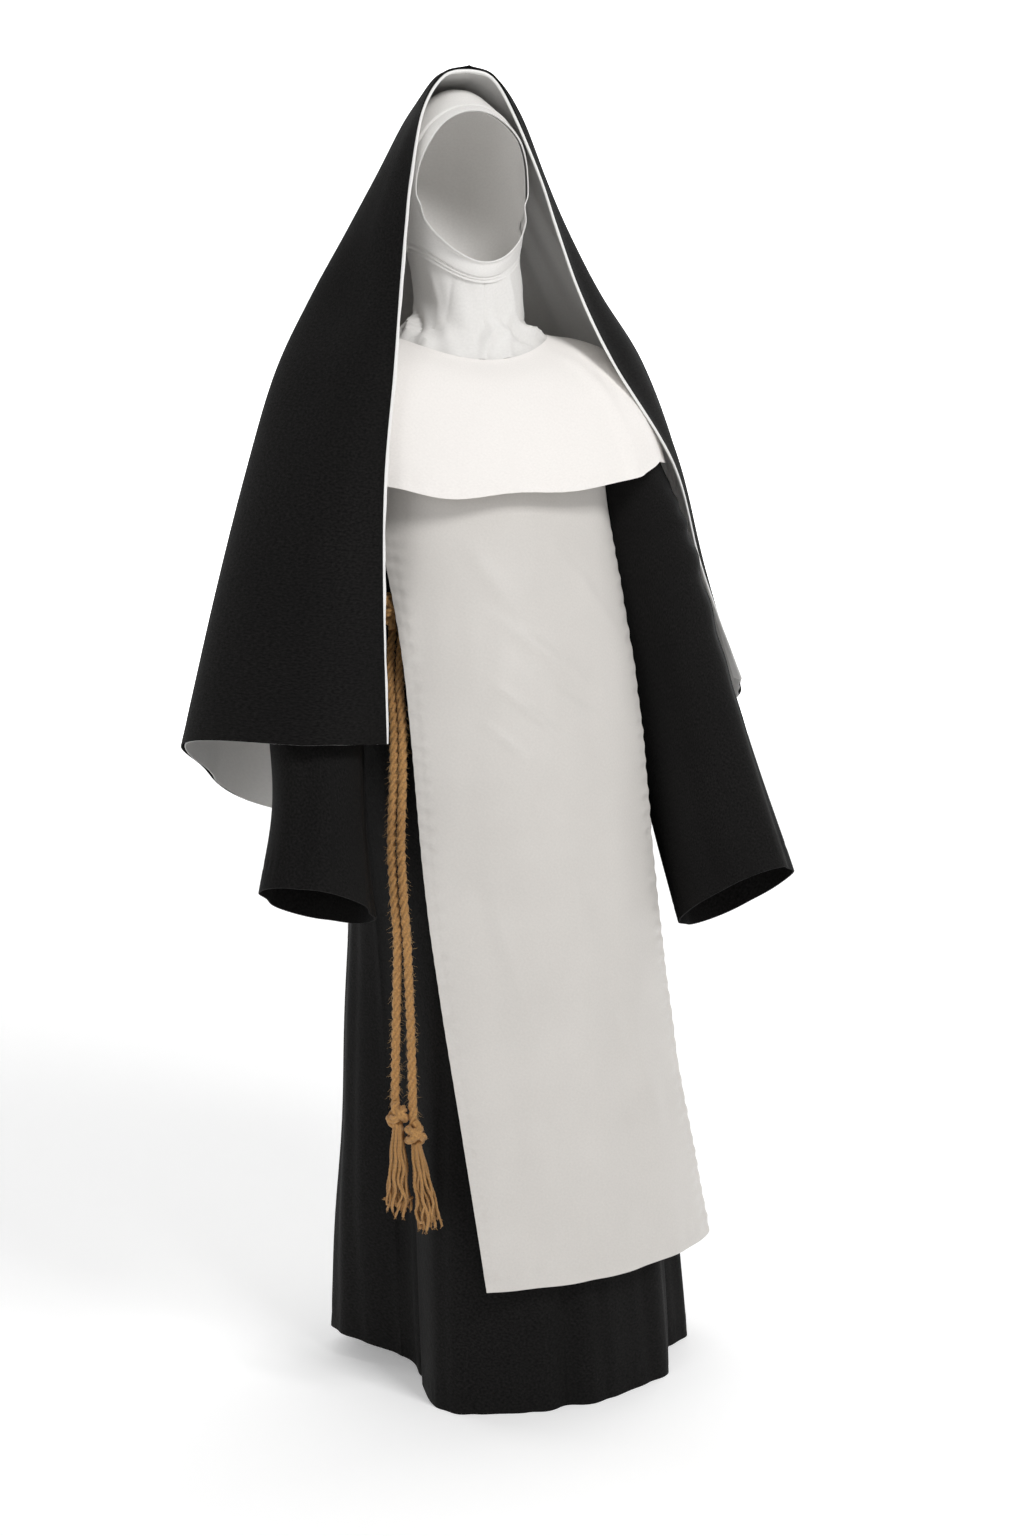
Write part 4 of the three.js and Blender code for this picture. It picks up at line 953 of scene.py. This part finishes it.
def strands(pitch, depth=1.0):
    """Outline of three laid strands, which turn once in every pitch; each strand shows its own yarns."""
    offset, strand = 0.49, 0.515

    def profile(turn, length):
        """Furthest of three circles at this turn, with fine waves for the yarns and the fuzz."""
        lay = turn - 2 * np.pi * length / pitch
        part = (lay % (2 * np.pi / 3)) - np.pi / 3
        hump = offset * np.cos(part) + np.sqrt(np.maximum(strand ** 2 - (offset * np.sin(part)) ** 2, 0))
        hump = 1 + (hump - 1) * depth * 1.15
        yarn = 0.018 * np.sin(YARNS * lay + 2 * np.pi * length / (pitch * 0.32))
        fuzz = 0.012 * np.sin(turn * 7 + length * 1.9) + 0.012 * np.sin(turn * 5 - length * 2.7)
        return hump + yarn + fuzz
    return profile


def fibres(line, count, radius, seed, reach):
    """Loose fibres that stand out of the rope, each a thin tube that bends and sinks as it leaves."""
    random = np.random.default_rng(seed)
    parts = []
    tangents = unit(np.gradient(line, axis=0))
    for _ in range(count):
        at = random.integers(1, len(line) - 1)
        side = unit(np.cross(tangents[at], random.normal(size=3)))
        bend = unit(random.normal(size=3) + 0.6 * tangents[at])
        size = reach * random.uniform(0.4, 1.0)
        run = np.linspace(0, 1, 5)[:, None]
        start = line[at] + side * (radius - 0.7)
        path = start + side * size * run * 0.7 + bend * size * run ** 2 * 0.8
        path[:, 2] -= 0.35 * size * run[:, 0] ** 2
        parts.append(tube_parts(path, FIBRE_RADIUS * (1 - 0.7 * run[:, 0]), 3))
    return parts


def overhand(middle, half, flip):
    """Line of an overhand knot: in at the top, round itself, out at the bottom."""
    steps = [(0.0, 0.15, 1.2), (-0.3, -0.3, 0.72), (0.1, -0.78, 0.28), (0.66, -0.45, -0.16), (0.5, 0.4, -0.4),
             (-0.3, 0.62, -0.3), (-0.72, 0.1, -0.2), (-0.42, -0.7, 0.0), (0.3, -0.6, 0.5), (0.6, 0.2, 0.56),
             (0.0, 0.65, 0.3), (-0.55, 0.2, -0.45), (-0.2, -0.3, -0.72), (0.0, -0.1, -1.15)]
    points = np.array(steps, float) * np.array([flip, 1, 1]) * half + middle
    return curve_through(points, 0.9)


def knot_object(name, middle, half, flip):
    """Overhand knot drawn tight round a core of the same rope."""
    line = overhand(middle, half * 1.08, flip)
    core = curve_through([middle + [0, 0, 0.8 * half[2]], middle, middle - [0, 0, 0.8 * half[2]]], 1.2)
    parts = [tube_parts(line, KNOT_ROPE, 26, strands(34.0, 0.75))]
    parts.append(tube_parts(core, KNOT_ROPE * 1.15, 20, strands(34.0, 0.5)))
    return tubes(name, parts, hemp)


def twisted(pitch):
    """Outline of a yarn of two plies, which turn once in every pitch."""
    return lambda turn, length: 1 + 0.2 * np.cos(2 * (turn - 2 * np.pi * length / pitch))


def tassel_object(name, top, length, seed, lean):
    """Yarns that leave the knot in a sunflower's spiral, spread, sway and end frayed."""
    random = np.random.default_rng(40 + seed)
    parts = []
    run = np.linspace(0, 1, 46)
    golden = math.pi * (3 - math.sqrt(5))
    for each in range(TASSEL_YARNS):
        turn = golden * (each + seed)
        ring = math.sqrt((each + 0.5) / TASSEL_YARNS)
        fall = length * (0.80 + 0.2 * random.uniform())
        reach = (5.2 + 12.5 * run ** 0.85) * ring
        sway = 3.6 * np.sin(run * random.uniform(10, 19) + random.uniform(0, 6)) * run
        side = 3.4 * np.sin(run * random.uniform(12, 22) + random.uniform(0, 6)) * run
        drop = 0.0 if each % 4 else 1.0
        curl = drop * np.maximum(run - 0.9, 0) * 90
        x = top[0] + lean[0] * run + reach * math.sin(turn) + sway * math.cos(turn) + curl * math.cos(turn)
        y = top[1] + lean[1] * run - reach * math.cos(turn) + sway * math.sin(turn) + side
        z = top[2] + 4 - (fall + 4) * run + drop * np.maximum(run - 0.93, 0) * 150
        line = np.stack([x, y, z], -1)
        size = random.uniform(1.7, 2.5) * (1 - 0.2 * run ** 3)
        pitch = random.uniform(9, 12)
        parts.append(tube_parts(line, size, 8, twisted(pitch)))
        for _ in range(3):
            away = random.normal(size=3) * [1, 1, 0.5]
            hair = line[-1] + np.linspace(0, 1, 4)[:, None] * (away * 2 + [0, 0, -3.5])
            parts.append(tube_parts(hair, 0.32, 3))
    neck = curve_through([top + [0, 1, 3], top - [0, 0, 6], top + [lean[0] * 0.12, lean[1] * 0.12, -17]], 1.5)
    parts.append(tube_parts(neck, np.linspace(6.2, 7.6, len(neck)), 22, strands(30.0, 0.5)))
    return tubes(name, parts, hemp)


def rope_end(letter):
    """Hanging rope with its end knot, tassel and fibres, and the line that it follows."""
    facts = ROPE_ENDS[letter]
    points = [on_skirt(angle, z, ROPE_RADIUS + ROPE_LIFT) for angle, z in facts["route"]]
    middle = points[-1] + [0, -7, -KNOT_HALF[2] + 0.3]
    line = curve_through(points + [middle], 1.4)
    rope = tubes("rope_" + letter, [tube_parts(line, ROPE_RADIUS + 0.15, 34, strands(ROPE_PITCH))], hemp)
    top = middle + [0, -2, -KNOT_HALF[2] - SEAM_GAP]
    knot = knot_object("end_knot_" + letter, middle, KNOT_HALF, 1 if letter == "a" else -1)
    tassel = tassel_object("tassel_strands_" + letter, top, facts["tassel"], facts["seed"], facts["lean"])
    hairs = fibres(line, 900, ROPE_RADIUS, 7 + facts["seed"], 7.0)
    hairs += fibres(overhand(middle, KNOT_HALF, 1), 70, 5.4, 17 + facts["seed"], 3.0)
    fuzz = tubes("rope_fuzz_" + letter, hairs, hemp_fibre)
    return rope, knot, tassel, fuzz, line


# Pieces

def piece(obj, slot, *nodes):
    """Puts a piece on the body; slot is not used; nodes are the solids that it replaces."""
    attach(obj, "root")
    if nodes:
        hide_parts(*nodes)
    return obj


front_right = piece(gown_cut("gown_front_right", -90, 0, 92, 200, 11), "gown", "habit_front_right")
front_left = piece(gown_cut("gown_front_left", 0, 90, 92, 200, 12), "gown", "habit_front_left")
back = piece(gown_cut("gown_back", 90, 270, 130, 130, 13), "gown", "habit_back")
left_sleeve = piece(sleeve_cut("left_sleeve", 1, 110, 120, 21), "gown", "sleeve_left")
right_sleeve = piece(sleeve_cut("right_sleeve", -1, 110, 120, 22), "gown", "sleeve_right")
front_panel = piece(panel_cut("front_panel", 1, 84, 290, 41), "panel", "scapular_front")
back_panel = piece(panel_cut("back_panel", -1, 50, 120, 43), "panel", "scapular_back")
cape = piece(collar_cut("round_collar", 260, 50, 51), "collar", "collar")
hood = piece(hood_cut("coif"), "knit", "coif_hood")
chin = piece(face_strip("chin_band", 192, 348, -0.5, CHIN_WIDTH + 1, chin_lift, 140, 40), "knit", "coif_chin")
brow = piece(face_strip("brow_hem", -14, 194, -0.8, BROW_WIDTH, brow_lift, 150, 18), "knit")
veil = piece(veil_cut("veil"), "veil", "veil_outer")
lining = piece(lining_cut("lining"), "lining", "veil_lining")
facing = piece(facing_cut("facing"), "lining")

belt_off = ROPE_RADIUS + SEAM_GAP + 0.6
round_waist = [on_skirt(angle, BELT_HEIGHT, belt_off) for angle in np.arange(0.0, 360.0, 10.0)]
belt_line = curve_through(round_waist, 2.4, closed=True)
belt_tube = tube_parts(belt_line, ROPE_RADIUS, 24, strands(ROPE_PITCH), closed=True)
piece(tubes("belt", [belt_tube], hemp), "rope", "belt_loop")
belt_knot_middle = on_skirt(-57.5, BELT_HEIGHT, 2 * ROPE_RADIUS + 17)
piece(knot_object("waist_knot", belt_knot_middle, WAIST_KNOT_HALF, 1), "rope", "belt_knot")
for letter in "ab":
    rope, knot, tassel, fuzz, line = rope_end(letter)
    piece(rope, "rope", "rope_end_" + letter)
    piece(knot, "rope", "rope_knot_" + letter)
    piece(tassel, "rope", "tassel_" + letter)
    piece(fuzz, "rope")


# Floor, light and camera

bpy.ops.mesh.primitive_circle_add(vertices=96, radius=9, fill_type="NGON", location=(0, 2, -1.42))
floor = bpy.context.object
floor.data.materials.append(plain("studio_floor", "#f4f4f4", 0.95, 0.3))
upright = (math.radians(90), 0, math.radians(-22))
bpy.ops.mesh.primitive_plane_add(size=26, location=(1.5, 6, 0), rotation=upright)
backdrop = bpy.context.object
backdrop.data.materials.append(plain("studio_backdrop", "#ffffff", 0.95, 1.0))

world = bpy.data.worlds.new("studio")
bpy.context.scene.world = world
world.use_nodes = True
world.node_tree.nodes["Background"].inputs[0].default_value = (1, 1, 1, 1)
world.node_tree.nodes["Background"].inputs[1].default_value = 0.3


def lamp(name, place, target, size, power):
    """Square lamp that faces its target."""
    light = bpy.data.lights.new(name, "AREA")
    light.shape = "SQUARE"
    light.size = size
    light.energy = power
    obj = bpy.data.objects.new(name, light)
    bpy.context.scene.collection.objects.link(obj)
    aim = np.array(target, float) - np.array(place, float)
    back_axis = unit(-aim)
    right_axis = unit(np.cross([0, 0, 1], back_axis))
    up_axis = np.cross(back_axis, right_axis)
    turn = Matrix(np.stack([right_axis, up_axis, back_axis], -1).tolist()).to_4x4()
    turn.translation = place
    obj.matrix_world = turn
    return obj


lamp("key", (0.7, -2.8, 2.4), (0, 0, -0.4), 1.1, 81)
lamp("side", (-3.0, -2.2, 0.5), (0, 0, -0.6), 1.6, 15)

# the camera that fits the photograph: its place is measured from the wearer's middle
TURN, PITCH, ROLL = math.radians(22), math.radians(8.84), math.radians(-1.2)
DISTANCE, OFFSET, LENS_HEIGHT = 3.6, 0.050, 1.40
PICTURE_HEIGHT, FOCAL_PIXELS, SENSOR_HEIGHT = 1536, 2572, 36
ahead = np.array([math.sin(TURN), math.cos(TURN), 0.0])
right = np.array([math.cos(TURN), -math.sin(TURN), 0.0])
forward = math.cos(PITCH) * ahead - math.sin(PITCH) * np.array([0, 0, 1.0])
above = math.sin(PITCH) * ahead + math.cos(PITCH) * np.array([0, 0, 1.0])
rolled_right = math.cos(ROLL) * right + math.sin(ROLL) * above
rolled_above = math.cos(ROLL) * above - math.sin(ROLL) * right
spot = -DISTANCE * ahead + OFFSET * right + np.array([0, 0, LENS_HEIGHT - SHOULDER_HEIGHT * 0.001])
lens = bpy.data.cameras.new("camera")
lens.sensor_fit = "VERTICAL"
lens.sensor_height = SENSOR_HEIGHT
lens.lens = FOCAL_PIXELS / PICTURE_HEIGHT * SENSOR_HEIGHT
camera = bpy.data.objects.new("camera", lens)
bpy.context.scene.collection.objects.link(camera)
stance = Matrix(np.stack([rolled_right, rolled_above, -forward], -1).tolist()).to_4x4()
stance.translation = spot.tolist()
camera.matrix_world = stance
bpy.context.scene.camera = camera
bpy.context.scene.view_settings.view_transform = "Standard"
